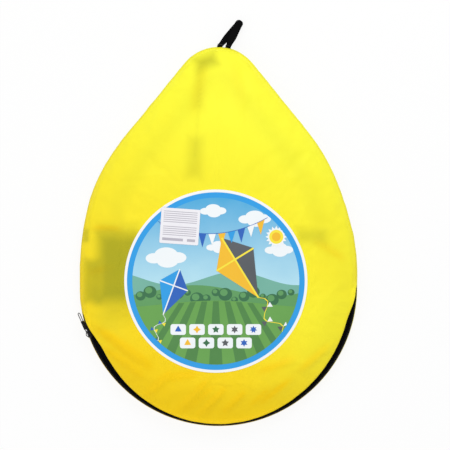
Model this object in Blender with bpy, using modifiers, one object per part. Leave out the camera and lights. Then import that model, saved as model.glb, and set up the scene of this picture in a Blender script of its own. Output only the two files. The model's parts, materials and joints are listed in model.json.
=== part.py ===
"""Pop-up goal set, folded flat in its zipped carry bag, lying on its back.

Metres, +Z up. The origin is the centre of the bag's round end, on the floor under the back
panel. +Y runs to the carry loop, +Z out of the labelled front.
"""

import math

import bmesh
import bpy
from mathutils import Matrix, Vector

# Clearances
GAP = 0.0003                      # between pieces that touch
RIM_HEADROOM = 0.0030             # from the folded goals up to the front panel's edge
CROWN_HEADROOM = 0.0024           # from the pump up to the front panel's crown
HOOP_CLEARANCE = 0.0023           # from the zip slider in to the nearest sleeve
SLIDER_PLAY = 0.0004              # between the zip slider and the zip
BALL_CLEARANCE = 0.0010           # from the ball's edge to the pump's needle

# Bag outline, seen from the front
ROUND_RADIUS = 0.2085
SIDE_STRAIGHT = 0.022
SIDE_RADIUS = 0.341
FLANK_LEAN = math.radians(39.0)
TIP_RADIUS = 0.066
CROWN_TIP_RADIUS = 0.006          # what is left of the tip's rounding at the crown

# Bag cloth and its section
CLOTH = 0.0010
FLOOR_EDGE = 0.0065               # rounding where the back panel turns up
BAND_INSET = 0.0085               # zip band, as seen from the front
BAND_HEIGHT = 0.0105              # zip band, as seen from the side

# Zip
ZIP_LEFT = math.radians(192.0)
ZIP_RIGHT = math.radians(359.0)
TAPE = 0.0007
TAPE_LAP = 0.0045                 # tape sewn under the panels
TEETH_WIDTH = 0.0020
TEETH_HEIGHT = 0.0022
STOP_LENGTH = 0.0035
SLIDER_ANGLE = math.radians(199.75)
SLIDER_LENGTH = 0.0110
SLIDER_WIDTH = 0.0084
WING = 0.0012
LIP = 0.0010
NECK = 0.0008
BAIL_RADIUS = 0.0032
BAIL_LEG = 0.0020
BAIL_WIRE = 0.0006
PULL_WIRE = 0.00065
PULL_LENGTH = 0.0350
PULL_END_RADIUS = 0.0026
PULL_LIFT = math.radians(5.0)

# Label and sticker
LABEL_RADIUS = 0.1364
LABEL_CENTRE = (-0.0039, 0.0102)
LABEL = 0.0005
STICKER_SIZE = (0.058, 0.053)
STICKER_CENTRE = (-0.0574, 0.0917)
STICKER_TURN = math.radians(-4.0)
STICKER_CORNER = 0.002
STICKER = 0.0003
FOLD_MARGIN = 0.0060              # from the label's edge down to the mouth flap's fold

# Carry loop
WEBBING_WIDTH = 0.0100
WEBBING = 0.0012
LOOP_LENGTH = 0.0455
LOOP_BEARING = math.radians(7.0)
LOOP_LEAN = math.radians(30.0)
LOOP_FEET = 0.0125                # between the middles of its two feet
LOOP_FOLD_RADIUS = 0.0050
LOOP_DROOP = 0.0080
LOOP_STANDOFF = 0.0009

# Folded goals
GOALS = 2
WIRE_RADIUS = 0.0009
SLEEVE_RADIUS = 0.0020
SLEEVE_WALL = 0.0007
NET = 0.0005
NET_TIP_MARGIN = 0.0030           # from the corner pockets down to the net's top edge
POCKET_WALL = 0.0006
POCKET_DEPTH = 0.0160
POCKET_SEAM = 0.0020              # solid end of a corner pocket
WIRE_TIP_WALL = 0.0004
WIRE_BARE = 0.0040                # wire that comes out of its sleeve, in the pocket

# Ball, let down flat
BALL_RADIUS = 0.0715
BALL_SEAT_RADIUS = 0.0460
BALL_RISE = 0.0135
BALL_SKIN = 0.0056                # two skins, one on the other
BALL_CENTRE_Y = 0.0230
VALVE_RADIUS = 0.0045
VALVE_HEIGHT = 0.0022

# Hand pump
PUMP_CENTRE_X = -0.0330
PUMP_NOZZLE_Y = 0.0760
BARREL_RADIUS = 0.0120
BARREL_WALL = 0.0020
BARREL_LENGTH = 0.1050
CAP_FLANGE = 0.0050
CAP_PLUG = 0.0060
NOZZLE_RADIUS = 0.0040
NOZZLE_LENGTH = 0.0100
NEEDLE_RADIUS = 0.0010
NEEDLE_LENGTH = 0.0300
NEEDLE_FOOT_RADIUS = 0.0035
NEEDLE_FOOT = 0.0080
ROD_RADIUS = 0.0035
ROD_SHOWN = 0.0080                # rod between the collar and the handle
PISTON_LENGTH = 0.0080
HANDLE_RADIUS = 0.0055
HANDLE_LENGTH = 0.0380

# Facets
ZIP_STEPS = 30
SIDE_STEPS = 5
TIP_STEPS = 4
SECTION_STEPS = 4
HOOP_STEPS = 26
TURN_STEPS = 24
LABEL_STEPS = 48
CAPSULE_STEPS = 5

# Heights of the folded stack, from the floor up
POCKET_FLOOR = CLOTH + GAP
BASE_RISE = POCKET_WALL + GAP + SLEEVE_RADIUS
NET_RISE = BASE_RISE + SLEEVE_RADIUS + GAP + NET / 2
ARCH_RISE = NET_RISE + NET / 2 + GAP + SLEEVE_RADIUS
GOAL_PITCH = ARCH_RISE + SLEEVE_RADIUS + GAP + POCKET_WALL + GAP
STACK_TOP = POCKET_FLOOR + GOALS * GOAL_PITCH - GAP
LOOSE_FLOOR = POCKET_FLOOR + (GOALS - 1) * GOAL_PITCH + NET_RISE + NET / 2 + GAP

# Heights of the bag
FRONT_EDGE = STACK_TOP + RIM_HEADROOM
SEAM_HEIGHT = FRONT_EDGE - BAND_HEIGHT
CROWN_HEIGHT = LOOSE_FLOOR + 2 * BARREL_RADIUS + CROWN_HEADROOM
CROWN_INSET = TIP_RADIUS - CROWN_TIP_RADIUS
FOLD_Y = LABEL_CENTRE[1] - LABEL_RADIUS - FOLD_MARGIN

# The zip band's own frame, in (inset, height): along the slope and out of it
BAND_LENGTH = math.hypot(BAND_INSET, BAND_HEIGHT)
BAND_ALONG = Vector((BAND_INSET, BAND_HEIGHT)) / BAND_LENGTH
BAND_OUT = Vector((-BAND_ALONG.y, BAND_ALONG.x))
BAND_MIDDLE = Vector((BAND_INSET / 2, SEAM_HEIGHT + BAND_HEIGHT / 2))
TAPE_FACE = CLOTH + GAP           # tape's outer face, below the panels' outer face
SLOT = NECK / 2 + GAP             # half the slot between the two rows of teeth
TEETH_TOP = TEETH_HEIGHT - TAPE_FACE + GAP
WING_FACE = TEETH_TOP + SLIDER_PLAY
WING_BACK = TAPE_FACE + TAPE + SLIDER_PLAY
SLIDER_TURN = (SLIDER_LENGTH / 2 + GAP) / ROUND_RADIUS
STOP_TURN = STOP_LENGTH / ROUND_RADIUS
STOP_GAP_TURN = GAP / ROUND_RADIUS
TEETH_LEFT = SLIDER_ANGLE - SLIDER_TURN
TEETH_RIGHT = ZIP_RIGHT - STOP_TURN - 2 * STOP_GAP_TURN
HOOP_INSET = (BAND_MIDDLE.x + BAND_ALONG.x * SLIDER_WIDTH / 2 - BAND_OUT.x * (WING_BACK + WING)
              + HOOP_CLEARANCE + SLEEVE_RADIUS)

# Colours: linear red, green, blue, then roughness and metallic
FINISHES = {
    "yellow_cloth": ((0.93, 0.79, 0.04), 0.55, 0.0),
    "black_tape": ((0.012, 0.012, 0.012), 0.75, 0.0),
    "black_nylon": ((0.015, 0.015, 0.016), 0.40, 0.0),
    "black_metal": ((0.03, 0.03, 0.03), 0.30, 0.8),
    "black_webbing": ((0.008, 0.008, 0.008), 0.80, 0.0),
    "printed_film": ((0.20, 0.52, 0.62), 0.35, 0.0),
    "white_paper": ((0.80, 0.78, 0.83), 0.55, 0.0),
    "spring_steel": ((0.35, 0.35, 0.36), 0.30, 1.0),
    "orange_sleeve": ((0.85, 0.28, 0.02), 0.65, 0.0),
    "dark_net": ((0.03, 0.03, 0.035), 0.75, 0.0),
    "black_pocket": ((0.015, 0.015, 0.015), 0.70, 0.0),
    "clear_tip": ((0.55, 0.55, 0.53), 0.35, 0.0),
    "ball_rubber": ((0.75, 0.75, 0.73), 0.50, 0.0),
    "black_rubber": ((0.02, 0.02, 0.02), 0.60, 0.0),
    "blue_plastic": ((0.02, 0.10, 0.45), 0.35, 0.0),
    "white_plastic": ((0.75, 0.75, 0.75), 0.40, 0.0),
    "bright_steel": ((0.60, 0.60, 0.61), 0.22, 1.0),
}

PARTS = None
CUTTERS = None


def clear_scene():
    """Take every object out of the scene, and make the two collections."""
    global PARTS, CUTTERS
    for item in list(bpy.data.objects):
        bpy.data.objects.remove(item, do_unlink=True)
    PARTS = bpy.data.collections.new("pop_up_goal_set")
    CUTTERS = bpy.data.collections.new("cutters")
    for collection in (PARTS, CUTTERS):
        bpy.context.scene.collection.children.link(collection)


def finish_material(name):
    """A Principled material with the finish's colour, roughness and metallic value."""
    found = bpy.data.materials.get(name)
    if found:
        return found
    colour, roughness, metallic = FINISHES[name]
    material = bpy.data.materials.new(name)
    material.use_nodes = True
    shader = material.node_tree.nodes["Principled BSDF"]
    shader.inputs["Base Color"].default_value = (*colour, 1.0)
    shader.inputs["Roughness"].default_value = roughness
    shader.inputs["Metallic"].default_value = metallic
    return material


def joint_empty(name, place, parent=None):
    """An empty whose origin lies on a joint's axis."""
    empty = bpy.data.objects.new(name, None)
    PARTS.objects.link(empty)
    if parent:
        empty.parent = parent
        empty.matrix_parent_inverse = parent.matrix_world.inverted()
    empty.matrix_world = place
    bpy.context.view_layer.update()
    return empty


def add_part(name, data, finish, parent=None, place=None):
    """Link a mesh or curve as one named part, at a place in the world."""
    part = bpy.data.objects.new(name, data)
    PARTS.objects.link(part)
    data.materials.append(finish_material(finish))
    if parent:
        part.parent = parent
        part.matrix_parent_inverse = parent.matrix_world.inverted()
    part.matrix_world = place or Matrix.Identity(4)
    return part


def to_mesh(bm, name, smooth=True):
    """Turn a bmesh into a mesh whose normals point out."""
    mesh = bpy.data.meshes.new(name)
    bm.to_mesh(mesh)
    bm.free()
    if smooth:
        mesh.shade_smooth()
        mesh.set_sharp_from_angle(angle=math.radians(35))
    return mesh


def curve_mesh(curve, name):
    """Mesh of a curve, with its caps welded on."""
    holder = bpy.data.objects.new(name, curve)
    PARTS.objects.link(holder)
    graph = bpy.context.evaluated_depsgraph_get()
    mesh = bpy.data.meshes.new_from_object(holder.evaluated_get(graph))
    bpy.data.objects.remove(holder, do_unlink=True)
    bm = bmesh.new()
    bm.from_mesh(mesh)
    bmesh.ops.remove_doubles(bm, verts=bm.verts, dist=0.00001)
    bmesh.ops.recalc_face_normals(bm, faces=bm.faces)
    bm.to_mesh(mesh)
    bm.free()
    return mesh


def wire_curve(name, points, radius, cyclic=False, caps=True, resolution=1):
    """A round wire through points."""
    curve = bpy.data.curves.new(name, "CURVE")
    curve.dimensions = "3D"
    curve.bevel_depth = radius
    curve.bevel_resolution = resolution
    curve.use_fill_caps = caps and not cyclic
    spline = curve.splines.new("POLY")
    spline.points.add(len(points) - 1)
    for control, point in zip(spline.points, points):
        control.co = (*point, 1.0)
    spline.use_cyclic_u = cyclic
    return curve


def flat_curve(name, points, thickness):
    """A filled flat outline of a thickness, centred on its own plane."""
    curve = bpy.data.curves.new(name, "CURVE")
    curve.dimensions = "2D"
    curve.fill_mode = "BOTH"
    curve.extrude = thickness / 2
    spline = curve.splines.new("POLY")
    spline.points.add(len(points) - 1)
    for control, point in zip(spline.points, points):
        control.co = (point[0], point[1], 0.0, 1.0)
    spline.use_cyclic_u = True
    return curve


def turned_part(name, profile, finish, place, parent=None, steps=TURN_STEPS):
    """A turned part: a profile of (radius, height), top to bottom, spun about its own Z."""
    count = len(profile)
    edges = [(index, index + 1) for index in range(count - 1)]
    if profile[0][0] > 0.0:
        edges.append((count - 1, 0))
    mesh = bpy.data.meshes.new(name)
    mesh.from_pydata([(radius, 0.0, height) for radius, height in profile], edges, [])
    part = add_part(name, mesh, finish, parent, place)
    screw = part.modifiers.new("turn", "SCREW")
    screw.steps = steps
    screw.render_steps = steps
    screw.use_merge_vertices = True
    screw.merge_threshold = 0.00001
    return part


def polar(radius, angle):
    """Point on a circle about the origin."""
    return Vector((radius * math.cos(angle), radius * math.sin(angle)))


def tip_middle():
    """Height along Y of the tip's rounding centre."""
    end_x = ROUND_RADIUS - SIDE_RADIUS * (1 - math.cos(FLANK_LEAN))
    end_y = SIDE_STRAIGHT + SIDE_RADIUS * math.sin(FLANK_LEAN)
    run = (end_x - TIP_RADIUS * math.cos(FLANK_LEAN)) / math.sin(FLANK_LEAN)
    return end_y + run * math.cos(FLANK_LEAN) - TIP_RADIUS * math.sin(FLANK_LEAN)


def flank_points(inset, tip_steps=TIP_STEPS):
    """Right side of the outline at an inset, from the widest point up and round the tip."""
    points = [Vector((ROUND_RADIUS - inset, 0.0))]
    centre = Vector((ROUND_RADIUS - SIDE_RADIUS, SIDE_STRAIGHT))
    for step in range(SIDE_STEPS + 1):
        points.append(centre + polar(SIDE_RADIUS - inset, FLANK_LEAN * step / SIDE_STEPS))
    centre = Vector((0.0, tip_middle()))
    for step in range(tip_steps + 1):
        angle = FLANK_LEAN + (math.pi / 2 - FLANK_LEAN) * step / TIP_STEPS
        points.append(centre + polar(TIP_RADIUS - inset, angle))
    return points


def mirrored(points):
    """Points mirrored about the bag's middle, in reverse order."""
    return [Vector((-point.x, point.y)) for point in reversed(points)]


def outline(inset):
    """Whole outline at an inset: the zip's stretch first, then on over the tip."""
    radius = ROUND_RADIUS - inset
    points = []
    for step in range(ZIP_STEPS + 1):
        points.append(polar(radius, ZIP_LEFT + (ZIP_RIGHT - ZIP_LEFT) * step / ZIP_STEPS))
    right = flank_points(inset)
    points += right + mirrored(right[:-1])
    points.append(polar(radius, (math.pi + ZIP_LEFT) / 2))
    return points


def hoop_path(height):
    """Path of a folded wire, from one end of the tip's rounding down and round to the other."""
    right = flank_points(HOOP_INSET, 0)
    radius = ROUND_RADIUS - HOOP_INSET
    path = right[::-1]
    for step in range(1, HOOP_STEPS):
        path.append(polar(radius, -math.pi * step / HOOP_STEPS))
    path += mirrored(path[:len(right)])
    return [Vector((point.x, point.y, height)) for point in path]


def ring_sheet(section, open_mouth=False):
    """Open sheet through rings of the outline, with a flat middle."""
    bm = bmesh.new()
    loops = []
    for inset, height in section:
        verts = [bm.verts.new((point.x, point.y, height)) for point in outline(inset)]
        loops.append([bm.edges.new((verts[i - 1], verts[i])) for i in range(len(verts))])
    for outer, inner in zip(loops, loops[1:]):
        bmesh.ops.bridge_loops(bm, edges=outer + inner)
    bmesh.ops.contextual_create(bm, geom=loops[-1])
    if open_mouth:
        bmesh.ops.delete(bm, geom=[face for face in bm.faces if in_mouth(face)], context="FACES")
    bmesh.ops.recalc_face_normals(bm, faces=bm.faces)
    return bm


def in_mouth(face):
    """Whether a face of the rim lies where the zip is."""
    middle = face.calc_center_median()
    angle = math.atan2(middle.y, middle.x) % math.tau
    on_rim = math.hypot(middle.x, middle.y) > ROUND_RADIUS - BAND_INSET
    return on_rim and ZIP_LEFT < angle < ZIP_RIGHT


def face_up(bm, up):
    """Turn an open sheet's faces up or down."""
    total = sum(face.normal.z * face.calc_area() for face in bm.faces)
    if (total > 0) != up:
        bmesh.ops.reverse_faces(bm, faces=bm.faces)


def cut_away(bm, y, towards, fill=False):
    """Remove what lies beyond a plane across Y; towards is the side that goes."""
    geom = bm.verts[:] + bm.edges[:] + bm.faces[:]
    bmesh.ops.bisect_plane(bm, geom=geom, dist=0.000001, plane_co=(0, y, 0),
                           plane_no=(0, towards, 0), clear_outer=True)
    if fill:
        rim = [edge for edge in bm.edges if edge.is_boundary]
        bmesh.ops.holes_fill(bm, edges=rim, sides=0)
        bmesh.ops.recalc_face_normals(bm, faces=bm.faces)


def add_shell(name, bm, finish, thickness, parent=None):
    """A cloth shell: an open sheet made solid on its inner side."""
    shell = add_part(name, to_mesh(bm, name), finish, parent)
    solid = shell.modifiers.new("thickness", "SOLIDIFY")
    solid.thickness = thickness
    solid.offset = -1.0
    solid.use_even_offset = True
    return shell


def offset_path(path, distance):
    """A path in (inset, height), moved inwards by a distance, with mitred corners."""
    normals = []
    for first, second in zip(path, path[1:]):
        along = (second - first).normalized()
        normals.append(Vector((along.y, -along.x)))
    moved = []
    for index, point in enumerate(path):
        before = normals[max(index - 1, 0)]
        after = normals[min(index, len(normals) - 1)]
        moved.append(point + (before + after) * distance / (1 + before.dot(after)))
    return moved


def band_point(along, out):
    """Point in (inset, height), from the zip band's middle."""
    return BAND_MIDDLE + BAND_ALONG * along + BAND_OUT * out


def arc_solid(bm, section, start, end, steps):
    """Sweep a closed (inset, height) section about the round end's centre."""
    verts = []
    for inset, height in section:
        point = polar(ROUND_RADIUS - inset, start)
        verts.append(bm.verts.new((point.x, point.y, height)))
    face = bm.faces.new(verts)
    bmesh.ops.spin(bm, geom=verts + list(face.edges) + [face], cent=(0, 0, 0), axis=(0, 0, 1),
                   angle=end - start, steps=steps)
    bmesh.ops.recalc_face_normals(bm, faces=bm.faces)


def fold_angle(side):
    """Angle at which the fold's line meets the round end; side is -1 left, 1 right."""
    reach = math.asin(-FOLD_Y / ROUND_RADIUS)
    return math.tau - reach if side > 0 else math.pi + reach


def front_section():
    """Front panel's (inset, height) from the seam in to the crown."""
    lift = (CLOTH * BAND_ALONG.x + GAP) / BAND_ALONG.y
    section = [tuple(Vector((0.0, SEAM_HEIGHT)) + BAND_ALONG * lift)]
    for step in range(SECTION_STEPS + 1):
        share = step / SECTION_STEPS
        inset = BAND_INSET + (CROWN_INSET - BAND_INSET) * share
        rise = (CROWN_HEIGHT - FRONT_EDGE) * math.sin(share * math.pi / 2)
        section.append((inset, FRONT_EDGE + rise))
    return section


def build_panels(flap):
    """Back panel, front panel and the mouth flap that opens below the label."""
    back = ring_sheet([(0.0, SEAM_HEIGHT - GAP / 2), (0.0, FLOOR_EDGE),
                       (FLOOR_EDGE * 0.3, FLOOR_EDGE * 0.3), (FLOOR_EDGE, 0.0)], False)
    face_up(back, False)
    add_shell("back_panel", back, "yellow_cloth", CLOTH)
    for name, towards, parent in (("front_panel", -1, None), ("mouth_flap", 1, flap)):
        front = ring_sheet(front_section(), True)
        face_up(front, True)
        cut_away(front, FOLD_Y - towards * GAP / 2, towards)
        add_shell(name, front, "yellow_cloth", CLOTH, parent)


def tape_section(path):
    """Closed section of a zip tape that lies under the panels along a path."""
    return offset_path(path, TAPE_FACE) + offset_path(path, TAPE_FACE + TAPE)[::-1]


def teeth_section(side):
    """Closed section of one row of teeth on its tape; side is 1 for the front row."""
    low = GAP - TAPE_FACE
    cut = TEETH_WIDTH / 4
    near = SLOT
    far = SLOT + TEETH_WIDTH
    corners = [(near, low), (far, low), (far, TEETH_TOP - cut), (far - cut, TEETH_TOP),
               (near + cut, TEETH_TOP), (near, TEETH_TOP - cut)]
    return [band_point(side * along, out) for along, out in corners]


def build_zip_run(name, section, start, end, finish, parent, cuts):
    """One run of tape or teeth, trimmed square at the fold's line."""
    bm = bmesh.new()
    arc_solid(bm, section, start, end, max(3, round(ZIP_STEPS * (end - start) / math.pi)))
    for y, towards in cuts:
        cut_away(bm, y, towards, fill=True)
    add_part(name, to_mesh(bm, name), finish, parent)


def build_zip(flap):
    """Tapes, rows of teeth and end stops; the front ones part at the fold's line."""
    section = front_section()
    lap = (Vector(section[2]) - Vector(section[1])).normalized() * TAPE_LAP
    front_edge = Vector((BAND_INSET, FRONT_EDGE))
    seam = Vector((0.0, SEAM_HEIGHT))
    front_tape = tape_section([band_point(SLOT, 0.0), front_edge, front_edge + lap])
    back_tape = tape_section([seam - Vector((0.0, TAPE_LAP)), seam, band_point(-SLOT, 0.0)])
    build_zip_run("zip_tape_back", back_tape, ZIP_LEFT, ZIP_RIGHT, "black_tape", None, [])
    build_zip_run("zip_teeth_back", teeth_section(-1), TEETH_LEFT, TEETH_RIGHT,
                  "black_nylon", None, [])
    above = (FOLD_Y + GAP / 2, -1)
    below = (FOLD_Y - GAP / 2, 1)
    past = 2 * BAND_INSET / ROUND_RADIUS
    left = fold_angle(-1)
    right = fold_angle(1)
    kinds = (("zip_tape_front", front_tape, "black_tape", ZIP_LEFT, ZIP_RIGHT),
             ("zip_teeth_front", teeth_section(1), "black_nylon", TEETH_LEFT, TEETH_RIGHT))
    for name, shape, finish, first, last in kinds:
        build_zip_run(name + "_left", shape, first, left + past, finish, None, [above])
        build_zip_run(name + "_mouth", shape, left - past, right + past, finish, flap, [below])
        build_zip_run(name + "_right", shape, right - past, last, finish, None, [above])
    build_stops()


def build_stops():
    """The two end stops, across both rows of teeth."""
    low = GAP - TAPE_FACE
    half = SLOT + TEETH_WIDTH
    corners = [(-half, low), (half, low), (half, TEETH_TOP), (-half, TEETH_TOP)]
    section = [band_point(along, out) for along, out in corners]
    starts = {"zip_stop_left": TEETH_LEFT - STOP_GAP_TURN - STOP_TURN,
              "zip_stop_right": TEETH_RIGHT + STOP_GAP_TURN}
    for name, start in starts.items():
        bm = bmesh.new()
        arc_solid(bm, section, start, start + STOP_TURN, 1)
        add_part(name, to_mesh(bm, name, smooth=False), "black_metal")


def slider_frame():
    """Slider's place: X along the band's slope, Y out of it, Z along the zip."""
    out = polar(1.0, SLIDER_ANGLE)
    along = Vector((-out.x * BAND_ALONG.x, -out.y * BAND_ALONG.x, BAND_ALONG.y))
    face = Vector((-out.x * BAND_OUT.x, -out.y * BAND_OUT.x, BAND_OUT.y))
    place = Matrix.Identity(4)
    middle = out * (ROUND_RADIUS - BAND_MIDDLE.x)
    for column, axis in enumerate((along, face, along.cross(face))):
        place.col[column].xyz = axis
    place.col[3].xyz = (middle.x, middle.y, BAND_MIDDLE.y)
    return place


def build_slider(travel):
    """Slider: two wings on a neck, lips over the teeth, and a bail for the pull."""
    half = SLIDER_WIDTH / 2
    neck = NECK / 2
    lip_end = 2 * GAP - TAPE_FACE
    right = [(neck, -WING_BACK), (neck, WING_FACE), (half - LIP, WING_FACE),
             (half - LIP, lip_end), (half, lip_end), (half, WING_FACE + WING)]
    lower = [(half, -WING_BACK - WING), (half, -WING_BACK)]
    side = lower + right
    points = side + [(-x, y) for x, y in reversed(side)]
    place = slider_frame()
    body = curve_mesh(flat_curve("zip_slider", points, SLIDER_LENGTH), "zip_slider")
    slider = add_part("zip_slider", body, "black_metal", travel, place)
    top = WING_FACE + WING
    arch = [(0.0, top - WING / 2, BAIL_RADIUS)]
    for step in range(CAPSULE_STEPS * 2 + 1):
        angle = math.pi * step / (CAPSULE_STEPS * 2)
        arch.append((0.0, top + BAIL_LEG + BAIL_RADIUS * math.sin(angle),
                     BAIL_RADIUS * math.cos(angle)))
    arch.append((0.0, top - WING / 2, -BAIL_RADIUS))
    bail_mesh = curve_mesh(wire_curve("bail", arch, BAIL_WIRE, resolution=2), "bail")
    bail = bpy.data.objects.new("bail_cutter", bail_mesh)
    CUTTERS.objects.link(bail)
    bail.matrix_world = place
    bail.hide_render = True
    bail.display_type = "WIRE"
    join = slider.modifiers.new("bail", "BOOLEAN")
    join.operation = "UNION"
    join.object = bail


def pull_place():
    """Pull's hinge on the slider's bail: X along the pull, Y along the hinge."""
    frame = slider_frame()
    along = frame.col[0].xyz
    face = frame.col[1].xyz
    back = -frame.col[2].xyz
    reach = back * math.cos(PULL_LIFT) + face * math.sin(PULL_LIFT)
    place = Matrix.Identity(4)
    for column, axis in enumerate((reach, along, reach.cross(along))):
        place.col[column].xyz = axis
    place.col[3].xyz = frame.col[3].xyz + face * (WING_FACE + WING + BAIL_LEG)
    return place


def build_pull(travel):
    """Pull: one closed ring of wire through the bail."""
    place = pull_place()
    hinge = joint_empty("zip_pull_hinge", place, travel)
    eye = BAIL_WIRE + PULL_WIRE + 2 * GAP
    near = BAIL_RADIUS - BAIL_WIRE - GAP - PULL_WIRE + eye
    far = PULL_LENGTH - PULL_END_RADIUS
    ring = []
    for middle, radius, first in ((near, eye, math.pi / 2), (far, PULL_END_RADIUS, -math.pi / 2)):
        for step in range(CAPSULE_STEPS + 1):
            turn = polar(radius, first + math.pi * step / CAPSULE_STEPS)
            ring.append((middle + turn.x, turn.y, 0.0))
    curve = wire_curve("zip_pull", ring, PULL_WIRE, cyclic=True, resolution=2)
    add_part("zip_pull", curve_mesh(curve, "zip_pull"), "black_metal", hinge, place)


def loop_frame():
    """Carry loop's hinge, on the seam at the tip: X along the seam, Y out of it."""
    out = Vector((math.sin(LOOP_BEARING), math.cos(LOOP_BEARING)))
    point = Vector((0.0, tip_middle())) + out * (TIP_RADIUS + LOOP_STANDOFF)
    place = Matrix.Rotation(-LOOP_BEARING, 4, "Z")
    place.translation = (point.x, point.y, SEAM_HEIGHT)
    return place


def loop_path():
    """Middle line of the webbing in the loop's frame: out below, round, and back above."""
    lean = LOOP_LEAN - LOOP_BEARING
    run = Vector((math.sin(lean), math.cos(lean)))
    straight = LOOP_LENGTH - LOOP_FOLD_RADIUS
    steps = TIP_STEPS * 2
    lower = []
    for step in range(steps + 1):
        share = step / steps
        lift = LOOP_FOLD_RADIUS * math.sin(min(share * 2.0, 1.0) * math.pi / 2)
        point = run * straight * share
        aside = LOOP_FEET / 2 * (1 - share)
        lower.append((point, aside, lift, LOOP_DROOP * share))
    path = [Vector((point.x - aside, point.y, -lift - droop)) for point, aside, lift, droop in lower]
    for step in range(1, TIP_STEPS):
        turn = polar(LOOP_FOLD_RADIUS, -math.pi / 2 + math.pi * step / TIP_STEPS)
        point = run * (straight + turn.x)
        path.append(Vector((point.x, point.y, turn.y - LOOP_DROOP)))
    back = [Vector((point.x + aside, point.y, lift - droop)) for point, aside, lift, droop in lower]
    return path + back[::-1]


def build_loop():
    """Carry loop: one strip of webbing, folded over and sewn in by both ends."""
    place = loop_frame()
    hinge = joint_empty("carry_loop_hinge", place)
    bm = bmesh.new()
    half = Vector((WEBBING_WIDTH / 2, 0.0, 0.0))
    rows = []
    for point in loop_path():
        rows.append(bm.edges.new((bm.verts.new(point - half), bm.verts.new(point + half))))
    for first, second in zip(rows, rows[1:]):
        bmesh.ops.contextual_create(bm, geom=[first, second])
    bmesh.ops.recalc_face_normals(bm, faces=bm.faces)
    loop = add_part("carry_loop", to_mesh(bm, "carry_loop"), "black_webbing", hinge, place)
    solid = loop.modifiers.new("thickness", "SOLIDIFY")
    solid.thickness = WEBBING
    solid.offset = 0.0


def build_label():
    """Round label on the crown, and the square sticker on it."""
    rim = [polar(LABEL_RADIUS, math.tau * step / LABEL_STEPS) for step in range(LABEL_STEPS)]
    label = curve_mesh(flat_curve("round_label", rim, LABEL), "round_label")
    height = CROWN_HEIGHT + GAP + LABEL / 2
    add_part("round_label", label, "printed_film",
             place=Matrix.Translation((*LABEL_CENTRE, height)))
    bm = bmesh.new()
    bmesh.ops.create_cube(bm, size=1.0)
    bmesh.ops.scale(bm, vec=(*STICKER_SIZE, STICKER), verts=bm.verts)
    upright = [edge for edge in bm.edges if abs(edge.verts[0].co.z - edge.verts[1].co.z) > 0]
    bmesh.ops.bevel(bm, geom=upright, offset=STICKER_CORNER, segments=3, profile=0.5,
                    affect="EDGES")
    height += LABEL / 2 + GAP + STICKER / 2
    place = Matrix.Translation((*STICKER_CENTRE, height)) @ Matrix.Rotation(STICKER_TURN, 4, "Z")
    add_part("info_sticker", to_mesh(bm, "info_sticker", smooth=False), "white_paper", place=place)


def hoop_end(side, height):
    """Frame at a sleeve's end beside the tip: X on along the hoop, Z up."""
    point = Vector((0.0, tip_middle())) + polar(TIP_RADIUS - HOOP_INSET, FLANK_LEAN)
    on = polar(1.0, FLANK_LEAN + math.pi / 2)
    place = Matrix.Identity(4)
    place.col[0].xyz = (side * on.x, on.y, 0.0)
    place.col[1].xyz = (-on.y, side * on.x, 0.0)
    place.translation = (side * point.x, point.y, height)
    return place


def stadium(bm, x, radius, rise):
    """Ring of edges in the YZ plane: an upright slot shape round two wires."""
    verts = []
    for middle, first in ((rise / 2, 0.0), (-rise / 2, math.pi)):
        for step in range(CAPSULE_STEPS + 1):
            turn = polar(radius, first + math.pi * step / CAPSULE_STEPS)
            verts.append(bm.verts.new((x, turn.x, middle + turn.y)))
    return [bm.edges.new((verts[i - 1], verts[i])) for i in range(len(verts))]


def build_pocket(name, side, height):
    """Corner pocket: a sewn cup over the ends of a goal's two sleeves."""
    rise = ARCH_RISE - BASE_RISE
    inner = SLEEVE_RADIUS + GAP
    outer = inner + POCKET_WALL
    mouth = -POCKET_DEPTH / 2
    floor = POCKET_DEPTH / 2
    bm = bmesh.new()
    rings = [stadium(bm, floor + POCKET_SEAM, outer, rise), stadium(bm, mouth, outer, rise),
             stadium(bm, mouth, inner, rise), stadium(bm, floor, inner, rise)]
    for first, second in zip(rings, rings[1:]):
        bmesh.ops.bridge_loops(bm, edges=first + second)
    for ring in (rings[0], rings[-1]):
        bmesh.ops.contextual_create(bm, geom=ring)
    bmesh.ops.recalc_face_normals(bm, faces=bm.faces)
    middle = height + (BASE_RISE + ARCH_RISE) / 2
    add_part(name, to_mesh(bm, name), "black_pocket", place=hoop_end(side, middle))


def build_wire_tip(name, side, height):
    """Cap on one end of a wire."""
    bore = WIRE_RADIUS + GAP
    outer = bore + WIRE_TIP_WALL
    end = WIRE_BARE + GAP
    profile = [(0.0, end + WIRE_TIP_WALL), (outer, end + WIRE_TIP_WALL), (outer, GAP), (bore, GAP),
               (bore, end), (0.0, end)]
    place = hoop_end(side, height) @ Matrix.Rotation(math.pi / 2, 4, "Y")
    turned_part(name, profile, "clear_tip", place, steps=8)


def build_leaf(name, height):
    """One leaf of a folded goal: spring wire in its sewn sleeve."""
    path = hoop_path(height)
    ends = []
    for side, label in ((1, "right"), (-1, "left")):
        ends.append(hoop_end(side, height) @ Vector((WIRE_BARE, 0.0, 0.0)))
        build_wire_tip("%s_tip_%s" % (name, label), side, height)
    wire = wire_curve(name + "_wire", [ends[0]] + path[1:-1] + [ends[1]], WIRE_RADIUS)
    add_part(name + "_wire", curve_mesh(wire, name + "_wire"), "spring_steel")
    sleeve = wire_curve(name + "_sleeve", path, SLEEVE_RADIUS, caps=False)
    tube = add_part(name + "_sleeve", curve_mesh(sleeve, name + "_sleeve"), "orange_sleeve")
    solid = tube.modifiers.new("thickness", "SOLIDIFY")
    solid.thickness = SLEEVE_WALL
    solid.offset = -1.0
    solid.use_even_offset = True


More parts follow.
